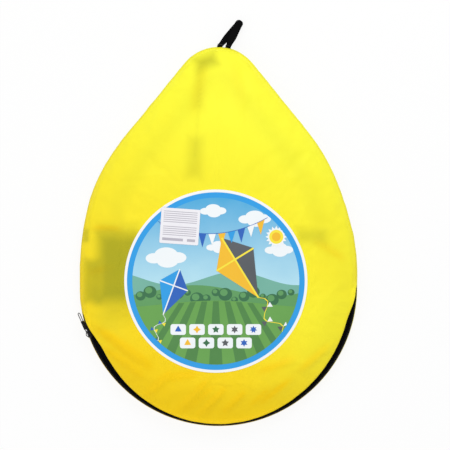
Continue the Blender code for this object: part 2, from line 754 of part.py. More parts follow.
def build_net(name, height):
    """Net of a goal, folded flat between its two leaves."""
    short = Vector((-POCKET_DEPTH / 2 - NET_TIP_MARGIN, 0.0, 0.0))
    ends = [hoop_end(side, height) @ short for side in (1, -1)]
    points = [ends[0]] + hoop_path(height)[1:-1] + [ends[1]]
    net = curve_mesh(flat_curve(name, points, NET), name)
    add_part(name, net, "dark_net", place=Matrix.Translation((0, 0, height)))


def build_goals():
    """The folded goals, one on the other."""
    for index in range(GOALS):
        height = POCKET_FLOOR + index * GOAL_PITCH
        goal = "goal_%d_" % (index + 1)
        build_leaf(goal + "base", height + BASE_RISE)
        build_leaf(goal + "arch", height + ARCH_RISE)
        build_net(goal + "net", height + NET_RISE)
        build_pocket(goal + "corner_left", -1, height)
        build_pocket(goal + "corner_right", 1, height)


def build_ball():
    """Ball, let down into a saucer of two skins, and its valve."""
    shoulder = (BALL_SEAT_RADIUS + BALL_RADIUS) / 2
    profile = [(0.0, BALL_SKIN), (BALL_SEAT_RADIUS, BALL_SKIN),
               (shoulder, BALL_RISE / 2 + BALL_SKIN * 0.8), (BALL_RADIUS, BALL_RISE + BALL_SKIN * 0.5),
               (BALL_RADIUS, BALL_RISE), (shoulder, BALL_RISE / 3), (BALL_SEAT_RADIUS, 0.0),
               (0.0, 0.0)]
    centre = (PUMP_CENTRE_X - NEEDLE_RADIUS - BALL_CLEARANCE - BALL_RADIUS, BALL_CENTRE_Y)
    turned_part("deflated_ball", profile, "ball_rubber",
                Matrix.Translation((*centre, LOOSE_FLOOR)))
    valve = [(0.0, VALVE_HEIGHT), (VALVE_RADIUS, VALVE_HEIGHT), (VALVE_RADIUS, 0.0), (0.0, 0.0)]
    turned_part("ball_valve", valve, "black_rubber", steps=12,
                place=Matrix.Translation((*centre, LOOSE_FLOOR + BALL_SKIN + GAP)))


def build_pump():
    """Hand pump: barrel, nozzle cap, needle, collar, and the plunger that slides in it."""
    axis_height = LOOSE_FLOOR + BARREL_RADIUS
    lie = Matrix.Rotation(-math.pi / 2, 4, "X")
    place = Matrix.Translation((PUMP_CENTRE_X, PUMP_NOZZLE_Y, axis_height)) @ lie
    bore = BARREL_RADIUS - BARREL_WALL
    foot = NOZZLE_LENGTH + CAP_FLANGE
    top = foot + GAP + BARREL_LENGTH
    barrel = [(bore, top), (BARREL_RADIUS, top), (BARREL_RADIUS, foot + GAP), (bore, foot + GAP)]
    turned_part("pump_barrel", barrel, "blue_plastic", place)
    plug = bore - GAP
    cap = [(0.0, foot + CAP_PLUG), (plug, foot + CAP_PLUG), (plug, foot), (BARREL_RADIUS, foot),
           (BARREL_RADIUS, NOZZLE_LENGTH), (NOZZLE_RADIUS, NOZZLE_LENGTH), (NOZZLE_RADIUS, 0.0),
           (0.0, 0.0)]
    turned_part("pump_nozzle_cap", cap, "white_plastic", place)
    needle = [(0.0, -GAP), (NEEDLE_FOOT_RADIUS, -GAP), (NEEDLE_FOOT_RADIUS, -NEEDLE_FOOT),
              (NEEDLE_RADIUS, -NEEDLE_FOOT - NEEDLE_FOOT_RADIUS),
              (NEEDLE_RADIUS, -NEEDLE_FOOT - NEEDLE_LENGTH), (0.0, -NEEDLE_FOOT - NEEDLE_LENGTH)]
    turned_part("pump_needle", needle, "bright_steel", place, steps=12)
    guide = ROD_RADIUS + GAP
    collar_top = top + GAP + CAP_FLANGE
    collar = [(guide, collar_top), (BARREL_RADIUS, collar_top), (BARREL_RADIUS, top + GAP),
              (plug, top + GAP), (plug, top - CAP_PLUG), (guide, top - CAP_PLUG)]
    turned_part("pump_collar", collar, "white_plastic", place)
    plunger = joint_empty("pump_plunger_slide", place)
    low = foot + CAP_PLUG + GAP
    rod_top = collar_top + ROD_SHOWN
    rod = [(0.0, rod_top), (ROD_RADIUS, rod_top), (ROD_RADIUS, low), (0.0, low)]
    turned_part("pump_rod", rod, "bright_steel", place, plunger, steps=12)
    piston = [(guide, low + PISTON_LENGTH), (plug, low + PISTON_LENGTH), (plug, low), (guide, low)]
    turned_part("pump_piston", piston, "black_rubber", place, plunger)
    reach = HANDLE_LENGTH / 2 - HANDLE_RADIUS
    grip = place @ Matrix.Translation((0, 0, rod_top + GAP + HANDLE_RADIUS))
    turn = Matrix.Rotation(math.pi / 2, 4, "Y")
    ends = []
    for middle, first in ((reach, math.pi / 2), (-reach, 0.0)):
        for step in range(CAPSULE_STEPS + 1):
            angle = first - math.pi / 2 * step / CAPSULE_STEPS
            ends.append((max(polar(HANDLE_RADIUS, angle).x, 0.0), middle + polar(HANDLE_RADIUS, angle).y))
    ends[0] = (0.0, ends[0][1])
    ends[-1] = (0.0, ends[-1][1])
    turned_part("pump_handle", ends, "blue_plastic", grip @ turn, plunger, steps=16)


def main():
    """Build the whole set."""
    clear_scene()
    flap = joint_empty("mouth_flap_hinge", Matrix.Translation((0, FOLD_Y, CROWN_HEIGHT)))
    travel = joint_empty("zip_slider_travel", Matrix.Rotation(SLIDER_ANGLE, 4, "Z"))
    build_panels(flap)
    build_zip(flap)
    build_slider(travel)
    build_pull(travel)
    build_loop()
    build_label()
    build_goals()
    build_ball()
    build_pump()


main()
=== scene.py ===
"""Looks of a pop-up goal set that lies packed in its zipped carry bag.

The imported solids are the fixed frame. Cloth, webbing, zip coils, stitches and the label's film
are built over them here, in metres and in the same frame.
"""

import json
import logging
import math
from dataclasses import dataclass, field
from enum import Enum
from typing import Callable, Iterable, Optional, Sequence

import bmesh
import bpy
from mathutils import Matrix, Vector, noise

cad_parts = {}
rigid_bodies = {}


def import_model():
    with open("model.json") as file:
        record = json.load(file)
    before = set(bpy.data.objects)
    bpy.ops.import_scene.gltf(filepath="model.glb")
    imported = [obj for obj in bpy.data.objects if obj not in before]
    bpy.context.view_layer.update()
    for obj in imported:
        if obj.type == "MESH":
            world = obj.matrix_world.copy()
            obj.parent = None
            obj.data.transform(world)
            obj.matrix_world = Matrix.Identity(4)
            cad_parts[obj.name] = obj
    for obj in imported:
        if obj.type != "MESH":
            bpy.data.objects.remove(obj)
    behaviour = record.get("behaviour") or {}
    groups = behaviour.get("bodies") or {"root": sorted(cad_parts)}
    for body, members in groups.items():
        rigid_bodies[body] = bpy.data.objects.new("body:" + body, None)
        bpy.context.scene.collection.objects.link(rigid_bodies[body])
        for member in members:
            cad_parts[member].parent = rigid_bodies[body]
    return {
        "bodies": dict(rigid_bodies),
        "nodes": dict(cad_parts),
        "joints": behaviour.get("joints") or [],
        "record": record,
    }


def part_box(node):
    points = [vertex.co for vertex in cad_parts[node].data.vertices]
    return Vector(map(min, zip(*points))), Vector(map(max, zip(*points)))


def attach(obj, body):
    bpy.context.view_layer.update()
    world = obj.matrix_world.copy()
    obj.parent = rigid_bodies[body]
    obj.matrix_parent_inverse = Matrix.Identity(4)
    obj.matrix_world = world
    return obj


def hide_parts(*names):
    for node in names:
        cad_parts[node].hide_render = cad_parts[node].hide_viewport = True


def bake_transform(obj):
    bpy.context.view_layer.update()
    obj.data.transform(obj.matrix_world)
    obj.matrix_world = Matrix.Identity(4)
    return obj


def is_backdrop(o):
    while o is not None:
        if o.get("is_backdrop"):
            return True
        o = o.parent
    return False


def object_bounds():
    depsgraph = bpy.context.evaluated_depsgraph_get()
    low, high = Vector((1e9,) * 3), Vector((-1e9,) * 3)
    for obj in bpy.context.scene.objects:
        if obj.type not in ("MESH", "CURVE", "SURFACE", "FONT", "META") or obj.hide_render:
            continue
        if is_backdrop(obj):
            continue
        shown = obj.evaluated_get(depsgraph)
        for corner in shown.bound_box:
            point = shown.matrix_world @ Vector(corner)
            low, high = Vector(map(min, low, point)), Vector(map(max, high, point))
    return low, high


LOG = logging.getLogger("packed_goal_set")
Colour = tuple[float, float, float]
Point = tuple[float, float]


class Body(str, Enum):
    """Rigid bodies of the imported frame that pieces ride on."""

    BAG = "bag"
    FLAP = "mouth_flap"
    SLIDER = "zip_slider"
    PULL = "zip_pull"
    LOOP = "carry_loop"


class Row(Enum):
    """The two halves of the zip."""

    FRONT = 1
    BACK = -1


# Shader helpers


class Shade:
    """A node material, or a node group, while it is being wired."""

    def __init__(self, name: str) -> None:
        """Start a material with an empty node tree.

        Args:
            name: Name of the material.
        """
        self.material = bpy.data.materials.new(name)
        self.material.use_nodes = True
        self.tree = self.material.node_tree
        self.tree.nodes.clear()
        self.output = self.tree.nodes.new("ShaderNodeOutputMaterial")
        self.surface = self.tree.nodes.new("ShaderNodeBsdfPrincipled")
        self.link(self.surface.outputs["BSDF"], self.output.inputs["Surface"])

    def add(self, kind: str, inputs: Optional[dict] = None, **settings: object) -> bpy.types.Node:
        """Add a node.

        Args:
            kind: The node's type, without its ShaderNode prefix.
            inputs: Socket values or sockets to link, by socket name or index.
            **settings: The node's own properties.

        Returns:
            The new node.
        """
        node = self.tree.nodes.new("ShaderNode" + kind)
        for name, value in settings.items():
            setattr(node, name, value)
        for name, value in (inputs or {}).items():
            self.put(node.inputs[name], value)
        return node

    def put(self, socket: bpy.types.NodeSocket, value: object) -> None:
        """Link a socket to another one, or set its value."""
        if isinstance(value, bpy.types.NodeSocket):
            self.link(value, socket)
        else:
            socket.default_value = value

    def link(self, source: bpy.types.NodeSocket, target: bpy.types.NodeSocket) -> None:
        """Link two sockets."""
        self.tree.links.new(source, target)

    def math(self, operation: str, *values: object) -> bpy.types.NodeSocket:
        """A Math node's result.

        Args:
            operation: The node's operation.
            *values: Its sockets or numbers.

        Returns:
            The result's socket.
        """
        node = self.add("Math", operation=operation)
        for socket, value in zip(node.inputs, values):
            self.put(socket, value)
        return node.outputs[0]

    def mix(self, factor: object, first: object, second: object) -> bpy.types.NodeSocket:
        """A mix of two colours.

        Args:
            factor: Share of the second colour.
            first: Colour or socket.
            second: Colour or socket.

        Returns:
            The mixed colour's socket.
        """
        node = self.add("Mix", data_type="RGBA")
        self.put(node.inputs[0], factor)
        self.put(node.inputs[6], first if isinstance(first, bpy.types.NodeSocket) else (*first, 1.0))
        self.put(node.inputs[7], second if isinstance(second, bpy.types.NodeSocket) else (*second, 1.0))
        return node.outputs[2]

    def place(self) -> bpy.types.NodeSocket:
        """Object coordinates."""
        return self.add("TexCoord").outputs["Object"]

    def group(self, tree: bpy.types.NodeTree, inputs: dict) -> bpy.types.Node:
        """Place a node group with its own values.

        Args:
            tree: The group.
            inputs: Socket values or sockets to link, by name.

        Returns:
            The group's node.
        """
        node = self.add("Group", node_tree=tree)
        for name, value in inputs.items():
            self.put(node.inputs[name], value)
        return node

    def bump(self, height: bpy.types.NodeSocket, strength: float, distance: float,
             under: Optional[bpy.types.NodeSocket] = None) -> bpy.types.NodeSocket:
        """A bump over another normal.

        Args:
            height: Height socket.
            strength: Strength of the bump.
            distance: Height of the bump in metres.
            under: Normal to add to.

        Returns:
            The normal's socket.
        """
        node = self.add("Bump", {"Strength": strength, "Distance": distance, "Height": height})
        if under is not None:
            self.link(under, node.inputs["Normal"])
        return node.outputs["Normal"]


class GroupMaker(Shade):
    """A shader node group while it is being wired."""

    def __init__(self, name: str, inputs: dict, outputs: Sequence[str]) -> None:
        """Start a group.

        Args:
            name: Name of the group.
            inputs: Socket types by name.
            outputs: Names of the value outputs.
        """
        self.tree = bpy.data.node_groups.new(name, "ShaderNodeTree")
        for socket, kind in inputs.items():
            self.tree.interface.new_socket(socket, in_out="INPUT", socket_type=kind)
        for socket in outputs:
            self.tree.interface.new_socket(socket, in_out="OUTPUT", socket_type="NodeSocketFloat")
        self.inside = self.tree.nodes.new("NodeGroupInput")
        self.result = self.tree.nodes.new("NodeGroupOutput")

    def give(self, name: str, value: bpy.types.NodeSocket) -> None:
        """Send a value out of the group."""
        self.link(value, self.result.inputs[name])


def weave_group() -> bpy.types.NodeTree:
    """Plain weave: threads that pass over and under each other.

    Returns:
        The group, with Height and Thread outputs from 0 to 1.
    """
    found = bpy.data.node_groups.get("plain_weave")
    if found:
        return found
    maker = GroupMaker("plain_weave", {"Vector": "NodeSocketVector", "Pitch": "NodeSocketFloat",
                                       "Turn": "NodeSocketFloat"}, ("Height", "Thread"))
    turned = maker.add("VectorRotate", {"Vector": maker.inside.outputs["Vector"],
                                        "Angle": maker.inside.outputs["Turn"]},
                       rotation_type="Z_AXIS")
    axes = maker.add("SeparateXYZ", {"Vector": turned.outputs[0]})
    rate = maker.math("DIVIDE", math.pi, maker.inside.outputs["Pitch"])
    waves = []
    for axis in ("X", "Y"):
        run = maker.math("ADD", axes.outputs[axis], maker.math("MULTIPLY", axes.outputs["Z"], 0.7))
        waves.append(maker.math("SINE", maker.math("MULTIPLY", run, rate)))
    both = maker.math("MULTIPLY", waves[0], waves[1])
    maker.give("Height", maker.math("MULTIPLY_ADD", both, 0.5, 0.5))
    maker.give("Thread", maker.math("ABSOLUTE", both))
    return maker.tree


def crease_group() -> bpy.types.NodeTree:
    """Soft crumples of thin cloth.

    Returns:
        The group, with a Height output from 0 to 1.
    """
    found = bpy.data.node_groups.get("soft_creases")
    if found:
        return found
    maker = GroupMaker("soft_creases", {"Vector": "NodeSocketVector", "Scale": "NodeSocketFloat"},
                       ("Height",))
    first = maker.add("TexNoise", {"Vector": maker.inside.outputs["Vector"],
                                   "Scale": maker.inside.outputs["Scale"], "Detail": 3.0,
                                   "Distortion": 0.6})
    second = maker.add("TexNoise", {"Vector": maker.inside.outputs["Vector"], "Scale": 9.0,
                                    "Detail": 2.0})
    folded = maker.math("ABSOLUTE", maker.math("SUBTRACT", first.outputs["Fac"], 0.5))
    ridge = maker.math("SUBTRACT", 1.0, maker.math("MULTIPLY", folded, 2.0))
    maker.give("Height", maker.math("MULTIPLY", ridge, second.outputs["Fac"]))
    return maker.tree


def grain_group() -> bpy.types.NodeTree:
    """Fine grain for moulded, rubbed and printed surfaces.

    Returns:
        The group, with Grain and Cloud outputs from 0 to 1.
    """
    found = bpy.data.node_groups.get("fine_grain")
    if found:
        return found
    maker = GroupMaker("fine_grain", {"Vector": "NodeSocketVector", "Scale": "NodeSocketFloat"},
                       ("Grain", "Cloud"))
    fine = maker.add("TexNoise", {"Vector": maker.inside.outputs["Vector"],
                                  "Scale": maker.inside.outputs["Scale"], "Detail": 4.0})
    wide = maker.add("TexNoise", {"Vector": maker.inside.outputs["Vector"], "Scale": 22.0,
                                  "Detail": 3.0})
    maker.give("Grain", fine.outputs["Fac"])
    maker.give("Cloud", wide.outputs["Fac"])
    return maker.tree


# Finishes


@dataclass(frozen=True)
class BagCloth:
    """Thin yellow polyester whose colour carries painted light and shade: a painted tone, and painted shade
    where dark things lie under the cloth.
    """

    # bright and deep are the painted lit and shaded ends of the cloth's tone; deep also takes the weave's
    # threads and random patches. shadowed is the painted shade where dark things lie under the cloth.
    bright: Colour = (0.985, 0.985, 0.045)
    deep: Colour = (0.955, 0.630, 0.004)
    shadowed: Colour = (0.340, 0.350, 0.014)
    pitch: float = 0.00055

    def material(self) -> bpy.types.Material:
        """Build the material: it reads the sheet's painted tone and its painted see-through shade, both
        attributes of painted light and shade.
        """
        found = bpy.data.materials.get("yellow_polyester")
        if found:
            return found
        shade = Shade("yellow_polyester")
        place = shade.place()
        painted_tone = shade.add("Attribute", attribute_name="painted_tone").outputs["Fac"]
        see_through_shade = shade.add("Attribute", attribute_name="show_through").outputs["Fac"]
        weave = shade.group(weave_group(), {"Vector": place, "Pitch": self.pitch, "Turn": 0.4})
        crease = shade.group(crease_group(), {"Vector": place, "Scale": 34.0})
        cloud = shade.group(grain_group(), {"Vector": place, "Scale": 900.0})
        # Painted light and shade: the painted tone runs from deep to bright.
        colour = shade.mix(painted_tone, self.deep, self.bright)
        # Painted shade where dark things lie under the cloth.
        colour = shade.mix(see_through_shade, colour, self.shadowed)
        thread = shade.math("MULTIPLY", weave.outputs["Thread"], 0.16)
        patch = shade.math("MULTIPLY_ADD", cloud.outputs["Cloud"], 0.18, -0.09)
        colour = shade.mix(shade.math("ADD", thread, patch), colour, self.deep)
        normal = shade.bump(crease.outputs["Height"], 0.45, 0.0014)
        normal = shade.bump(weave.outputs["Height"], 0.5, 0.00012, normal)
        shade.put(shade.surface.inputs["Base Color"], colour)
        shade.put(shade.surface.inputs["Roughness"],
                  shade.math("MULTIPLY_ADD", weave.outputs["Thread"], 0.12, 0.48))
        shade.put(shade.surface.inputs["Normal"], normal)
        shade.surface.inputs["Specular IOR Level"].default_value = 0.12
        return shade.material


@dataclass(frozen=True)
class WovenFinish:
    """Webbing, tape, sleeve cloth and pockets: a visible plain weave."""

    name: str
    colour: Colour
    worn: Colour
    pitch: float
    roughness: float = 0.8
    turn: float = 0.0

    def material(self) -> bpy.types.Material:
        """Build the material on Object coordinates."""
        found = bpy.data.materials.get(self.name)
        if found:
            return found
        shade = Shade(self.name)
        place = shade.place()
        weave = shade.group(weave_group(), {"Vector": place, "Pitch": self.pitch, "Turn": self.turn})
        grain = shade.group(grain_group(), {"Vector": place, "Scale": 700.0})
        share = shade.math("MULTIPLY", weave.outputs["Thread"], 0.35)
        dust = shade.math("MULTIPLY", grain.outputs["Cloud"], 0.35)
        shade.put(shade.surface.inputs["Base Color"],
                  shade.mix(shade.math("ADD", share, dust), self.colour, self.worn))
        shade.put(shade.surface.inputs["Roughness"],
                  shade.math("MULTIPLY_ADD", grain.outputs["Grain"], 0.15, self.roughness - 0.08))
        shade.put(shade.surface.inputs["Normal"],
                  shade.bump(weave.outputs["Height"], 0.5, self.pitch * 0.35))
        shade.surface.inputs["Specular IOR Level"].default_value = 0.04
        return shade.material


@dataclass(frozen=True)
class SolidFinish:
    """Moulded plastic, rubber, metal and paper: fine grain and slight unevenness."""

    name: str
    colour: Colour
    second: Colour
    roughness: float = 0.4
    metallic: float = 0.0
    scale: float = 800.0
    bump: float = 0.00005
    coat: float = 0.0
    specular: float = 0.5

    def material(self) -> bpy.types.Material:
        """Build the material on Object coordinates."""
        found = bpy.data.materials.get(self.name)
        if found:
            return found
        shade = Shade(self.name)
        grain = shade.group(grain_group(), {"Vector": shade.place(), "Scale": self.scale})
        shade.put(shade.surface.inputs["Base Color"],
                  shade.mix(grain.outputs["Cloud"], self.colour, self.second))
        shade.put(shade.surface.inputs["Roughness"],
                  shade.math("MULTIPLY_ADD", grain.outputs["Grain"], 0.18, self.roughness - 0.09))
        shade.put(shade.surface.inputs["Normal"],
                  shade.bump(grain.outputs["Grain"], 0.3, self.bump))
        shade.surface.inputs["Metallic"].default_value = self.metallic
        shade.surface.inputs["Specular IOR Level"].default_value = self.specular
        shade.surface.inputs["Coat Weight"].default_value = self.coat
        shade.surface.inputs["Coat Roughness"].default_value = 0.25
        return shade.material


@dataclass(frozen=True)
class SkyInk:
    """Printed sky: a deep top that pales towards the horizon."""

    name: str = "ink_sky"
    top: Colour = (0.060, 0.400, 0.720)
    low: Colour = (0.560, 0.850, 0.930)
    middle_y: float = 0.010
    half_height: float = 0.125

    def material(self) -> bpy.types.Material:
        """Build the material: a ramp along Y on Object coordinates."""
        found = bpy.data.materials.get(self.name)
        if found:
            return found
        shade = Shade(self.name)
        place = shade.place()
        axes = shade.add("SeparateXYZ", {"Vector": place})
        grain = shade.group(grain_group(), {"Vector": place, "Scale": 1500.0})
        rise = shade.math("SUBTRACT", axes.outputs["Y"], self.middle_y)
        share = shade.add("MapRange", {"Value": rise, "From Min": -0.3 * self.half_height,
                                       "From Max": self.half_height})
        soft = shade.math("ADD", share.outputs[0],
                          shade.math("MULTIPLY_ADD", grain.outputs["Cloud"], 0.24, -0.12))
        shade.put(shade.surface.inputs["Base Color"], shade.mix(soft, self.low, self.top))
        shade.put(shade.surface.inputs["Roughness"],
                  shade.math("MULTIPLY_ADD", grain.outputs["Grain"], 0.10, 0.30))
        shade.surface.inputs["Coat Weight"].default_value = 0.2
        shade.surface.inputs["Coat Roughness"].default_value = 0.3
        return shade.material


@dataclass(frozen=True)
class NetFinish:
    """Dark net: thin cords with open cells."""

    name: str = "open_dark_net"
    colour: Colour = (0.030, 0.032, 0.036)
    second: Colour = (0.070, 0.072, 0.078)
    cell: float = 0.0055

    def material(self) -> bpy.types.Material:
        """Build the material: the cells are cut out with Alpha."""
        found = bpy.data.materials.get(self.name)
        if found:
            return found
        shade = Shade(self.name)
        place = shade.place()
        weave = shade.group(weave_group(), {"Vector": place, "Pitch": self.cell, "Turn": 0.785})
        grain = shade.group(grain_group(), {"Vector": place, "Scale": 900.0})
        cord = shade.math("LESS_THAN", weave.outputs["Thread"], 0.22)
        shade.put(shade.surface.inputs["Base Color"],
                  shade.mix(grain.outputs["Cloud"], self.colour, self.second))
        shade.put(shade.surface.inputs["Roughness"],
                  shade.math("MULTIPLY_ADD", grain.outputs["Grain"], 0.15, 0.70))
        shade.put(shade.surface.inputs["Alpha"], cord)
        return shade.material


BLACK_TAPE = WovenFinish("black_zip_tape", (0.0015, 0.0015, 0.0018), (0.0080, 0.0080, 0.0085), 0.0008)
BLACK_WEBBING = WovenFinish("woven_black_webbing", (0.0012, 0.0012, 0.0014), (0.0075, 0.0075, 0.0080), 0.0011,
                            turn=-0.52)
BLACK_COIL = SolidFinish("black_nylon_coil", (0.002, 0.002, 0.002), (0.006, 0.006, 0.007), 0.40,
                         specular=0.08)
BLACK_LACQUER = SolidFinish("black_lacquer", (0.003, 0.003, 0.003), (0.009, 0.009, 0.010), 0.30,
                            specular=0.15)
WORN_METAL = SolidFinish("rubbed_black_metal", (0.010, 0.010, 0.010), (0.060, 0.060, 0.062), 0.35, 0.4)
BLACK_RUBBER_GRIP = SolidFinish("black_grip", (0.003, 0.003, 0.003), (0.008, 0.008, 0.009), 0.6,
                                specular=0.10)
YELLOW_THREAD = SolidFinish("yellow_thread", (0.90, 0.70, 0.02), (0.98, 0.86, 0.06), 0.6)
BLACK_THREAD = SolidFinish("black_thread", (0.012, 0.012, 0.013), (0.050, 0.050, 0.054), 0.6)
STICKER_PAPER = SolidFinish("white_label_paper", (0.84, 0.83, 0.88), (0.90, 0.89, 0.93), 0.55)
STICKER_RULE = SolidFinish("grey_rule_ink", (0.42, 0.40, 0.47), (0.55, 0.53, 0.60), 0.55)
SLEEVE_CLOTH = WovenFinish("orange_sleeve_cloth", (0.80, 0.30, 0.02), (0.92, 0.45, 0.04), 0.0007, 0.65)
POCKET_CLOTH = WovenFinish("black_pocket_cloth", (0.010, 0.010, 0.011), (0.045, 0.045, 0.048), 0.0007)
SPRING_WIRE = SolidFinish("spring_steel_wire", (0.32, 0.32, 0.33), (0.42, 0.42, 0.43), 0.30, 1.0)
WIRE_CAP = SolidFinish("clear_wire_cap", (0.52, 0.52, 0.50), (0.62, 0.62, 0.60), 0.35)
BALL_SKIN = SolidFinish("white_ball_skin", (0.70, 0.70, 0.68), (0.80, 0.80, 0.78), 0.45, bump=0.0003)
BLACK_RUBBER = SolidFinish("moulded_black_rubber", (0.015, 0.015, 0.015), (0.035, 0.035, 0.035), 0.6)
PUMP_BLUE = SolidFinish("blue_moulding", (0.02, 0.10, 0.42), (0.03, 0.14, 0.50), 0.35)
PUMP_WHITE = SolidFinish("white_moulding", (0.70, 0.70, 0.69), (0.78, 0.78, 0.77), 0.4)
BRIGHT_STEEL = SolidFinish("plated_steel", (0.58, 0.58, 0.59), (0.66, 0.66, 0.67), 0.2, 1.0)


def ink(name: str, colour: Colour, second: Colour) -> SolidFinish:
    """A printed colour under the label's film."""
    return SolidFinish("ink_" + name, colour, second, 0.34, scale=1500.0, bump=0.00001, coat=0.2)


# Mesh helpers


def finish_piece(name: str, bm: bmesh.types.BMesh, materials: Sequence[bpy.types.Material],
                 smooth: bool = True) -> bpy.types.Object:
    """Turn a bmesh into a piece of the scene.

    Args:
        name: Name of the piece.
        bm: The mesh, in the frame's coordinates. It is freed.
        materials: Materials, by slot.
        smooth: Whether its faces are shaded smooth.

    Returns:
        The new object, at the origin.
    """
    mesh = bpy.data.meshes.new(name)
    bm.to_mesh(mesh)
    bm.free()
    if smooth:
        mesh.shade_smooth()
    for material in materials:
        mesh.materials.append(material)
    piece = bpy.data.objects.new(name, mesh)
    bpy.context.scene.collection.objects.link(piece)
    LOG.info("%s: %d vertices", name, len(mesh.vertices))
    return piece


def stand(piece: bpy.types.Object, body: Body, slot: str, *nodes: str) -> None:
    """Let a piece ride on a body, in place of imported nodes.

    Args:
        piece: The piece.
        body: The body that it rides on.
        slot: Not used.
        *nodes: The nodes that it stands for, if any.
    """
    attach(piece, body.value)
    if nodes:
        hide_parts(*nodes)


def thicken(piece: bpy.types.Object, thickness: float, offset: float = -1.0) -> None:
    """Give a sheet its thickness.

    Args:
        piece: The sheet.
        thickness: Its thickness.
        offset: -1 to grow inwards, 0 to grow both ways.
    """
    wall = piece.modifiers.new("thickness", "SOLIDIFY")
    wall.thickness = thickness
    wall.offset = offset


def axes_place(x: Vector, y: Vector, z: Vector, origin: Vector) -> Matrix:
    """A place given by its three axes and its origin."""
    place = Matrix.Identity(4)
    for column, axis in enumerate((x, y, z)):
        place.col[column].xyz = axis
    place.translation = origin
    return place


def face_up(bm: bmesh.types.BMesh) -> None:
    """Turn every face of a flat print upwards."""
    bmesh.ops.recalc_face_normals(bm, faces=bm.faces)
    for face in bm.faces:
        if face.normal.z < 0:
            face.normal_flip()


def loft(bm: bmesh.types.BMesh, rings: Sequence[Sequence[Vector]],
         closed: bool = True) -> list[list[bmesh.types.BMVert]]:
    """Loft a sheet by extruding a row of points from row to row.

    Args:
        bm: The mesh to add to.
        rings: Rows of points, with one count.
        closed: Whether each row closes on itself.

    Returns:
        The rows' vertices.
    """
    first = 0 if closed else 1
    row = [bm.verts.new(point) for point in rings[0]]
    edges = [bm.edges.new((row[i - 1], row[i])) for i in range(first, len(row))]
    rows = [row]
    for ring in rings[1:]:
        made = bmesh.ops.extrude_edge_only(bm, edges=edges)["geom"]
        fresh = {item for item in made if isinstance(item, bmesh.types.BMVert)}
        row = [next(edge.other_vert(vert) for edge in vert.link_edges if edge.other_vert(vert) in fresh)
               for vert in row]
        for vert, point in zip(row, ring):
            vert.co = point
        edges = [item for item in made
                 if isinstance(item, bmesh.types.BMEdge) and all(vert in fresh for vert in item.verts)]
        rows.append(row)
    return rows


def sweep(bm: bmesh.types.BMesh, path: Sequence[Vector], radius: Callable[[float], float],
          sides: int = 8, cyclic: bool = False) -> None:
    """Sweep a round section along a path by extruding it from point to point.

    Args:
        bm: The mesh to add to.
        path: Points of the middle line.
        radius: Radius at a share of the path.
        sides: Sides of the section.
        cyclic: Whether the path closes on itself.
    """
    count = len(path)
    frames = []
    up = Vector((0.0, 0.0, 1.0))
    for index, point in enumerate(path):
        before = path[index - 1] if cyclic or index else path[0]
        after = path[(index + 1) % count] if cyclic or index + 1 < count else path[-1]
        along = (after - before).normalized()
        side = along.cross(up)
        side = side.normalized() if side.length > 1e-4 else Vector((1.0, 0.0, 0.0))
        up = side.cross(along).normalized()
        frames.append(axes_place(side, up, along, point) @ Matrix.Scale(radius(index / (count - 1)), 4))
    rings = []
    for frame in frames:
        ring = []
        for side in range(sides):
            angle = math.tau * side / sides
            ring.append(frame @ Vector((math.cos(angle), math.sin(angle), 0.0)))
        rings.append(ring)
    if cyclic:
        rings.append(rings[0])
    rows = loft(bm, rings)
    if not cyclic:
        for row in (rows[0], rows[-1]):
            bmesh.ops.contextual_create(bm, geom=row)
    bmesh.ops.remove_doubles(bm, verts=bm.verts, dist=0.000005)
    bmesh.ops.recalc_face_normals(bm, faces=bm.faces)


def rounded_box(bm: bmesh.types.BMesh, size: Sequence[float], place: Matrix, edge: float,
                segments: int = 2) -> None:
    """A box with rounded edges.

    Args:
        bm: The mesh to add to.
        size: Its three sides.
        place: Its place.
        edge: Radius of its edges.
        segments: Facets of each edge.
    """
    made = bmesh.ops.create_cube(bm, size=1.0)["verts"]
    bmesh.ops.scale(bm, vec=size, verts=made)
    edges = list({edge_ for vert in made for edge_ in vert.link_edges})
    made_faces = bmesh.ops.bevel(bm, geom=edges, offset=edge, offset_type="OFFSET", segments=segments,
                                 profile=0.5, affect="EDGES", material=-1)["faces"]
    verts = list({vert for face in made_faces for vert in face.verts})
    bmesh.ops.transform(bm, matrix=place, verts=verts)


def scatter(bm: bmesh.types.BMesh, source: bpy.types.Mesh, frames: Iterable[Matrix]) -> None:
    """Copy a small mesh to many places.

    Args:
        bm: The mesh to add to.
        source: The mesh that is copied.
        frames: A place for each copy.
    """
    for frame in frames:
        copy = source.copy()
        copy.transform(frame)
        bm.from_mesh(copy)
        bpy.data.meshes.remove(copy)


def merged_copy(node: str) -> bmesh.types.BMesh:
    """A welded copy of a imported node's mesh.

    Args:
        node: Name of the node.

    Returns:
        The copy.
    """
    bm = bmesh.new()
    bm.from_mesh(bpy.data.objects[node].data)
    bmesh.ops.remove_doubles(bm, verts=bm.verts, dist=0.000005)
    bmesh.ops.dissolve_limit(bm, angle_limit=math.radians(1.0), verts=bm.verts, edges=bm.edges)
    return bm


def smooth_step(low: float, high: float, value: float) -> float:
    """A soft step from 0 at low to 1 at high."""
    share = min(max((value - low) / (high - low), 0.0), 1.0)
    return share * share * (3.0 - 2.0 * share)


def dress(nodes: Iterable[str], material: bpy.types.Material) -> None:
    """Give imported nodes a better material.

    Args:
        nodes: Names of the nodes.
        material: The material.
    """
    for node in nodes:
        mesh = bpy.data.objects[node].data
        mesh.materials.clear()
        mesh.materials.append(material)
        LOG.info("%s: %s", node, material.name)


# The object


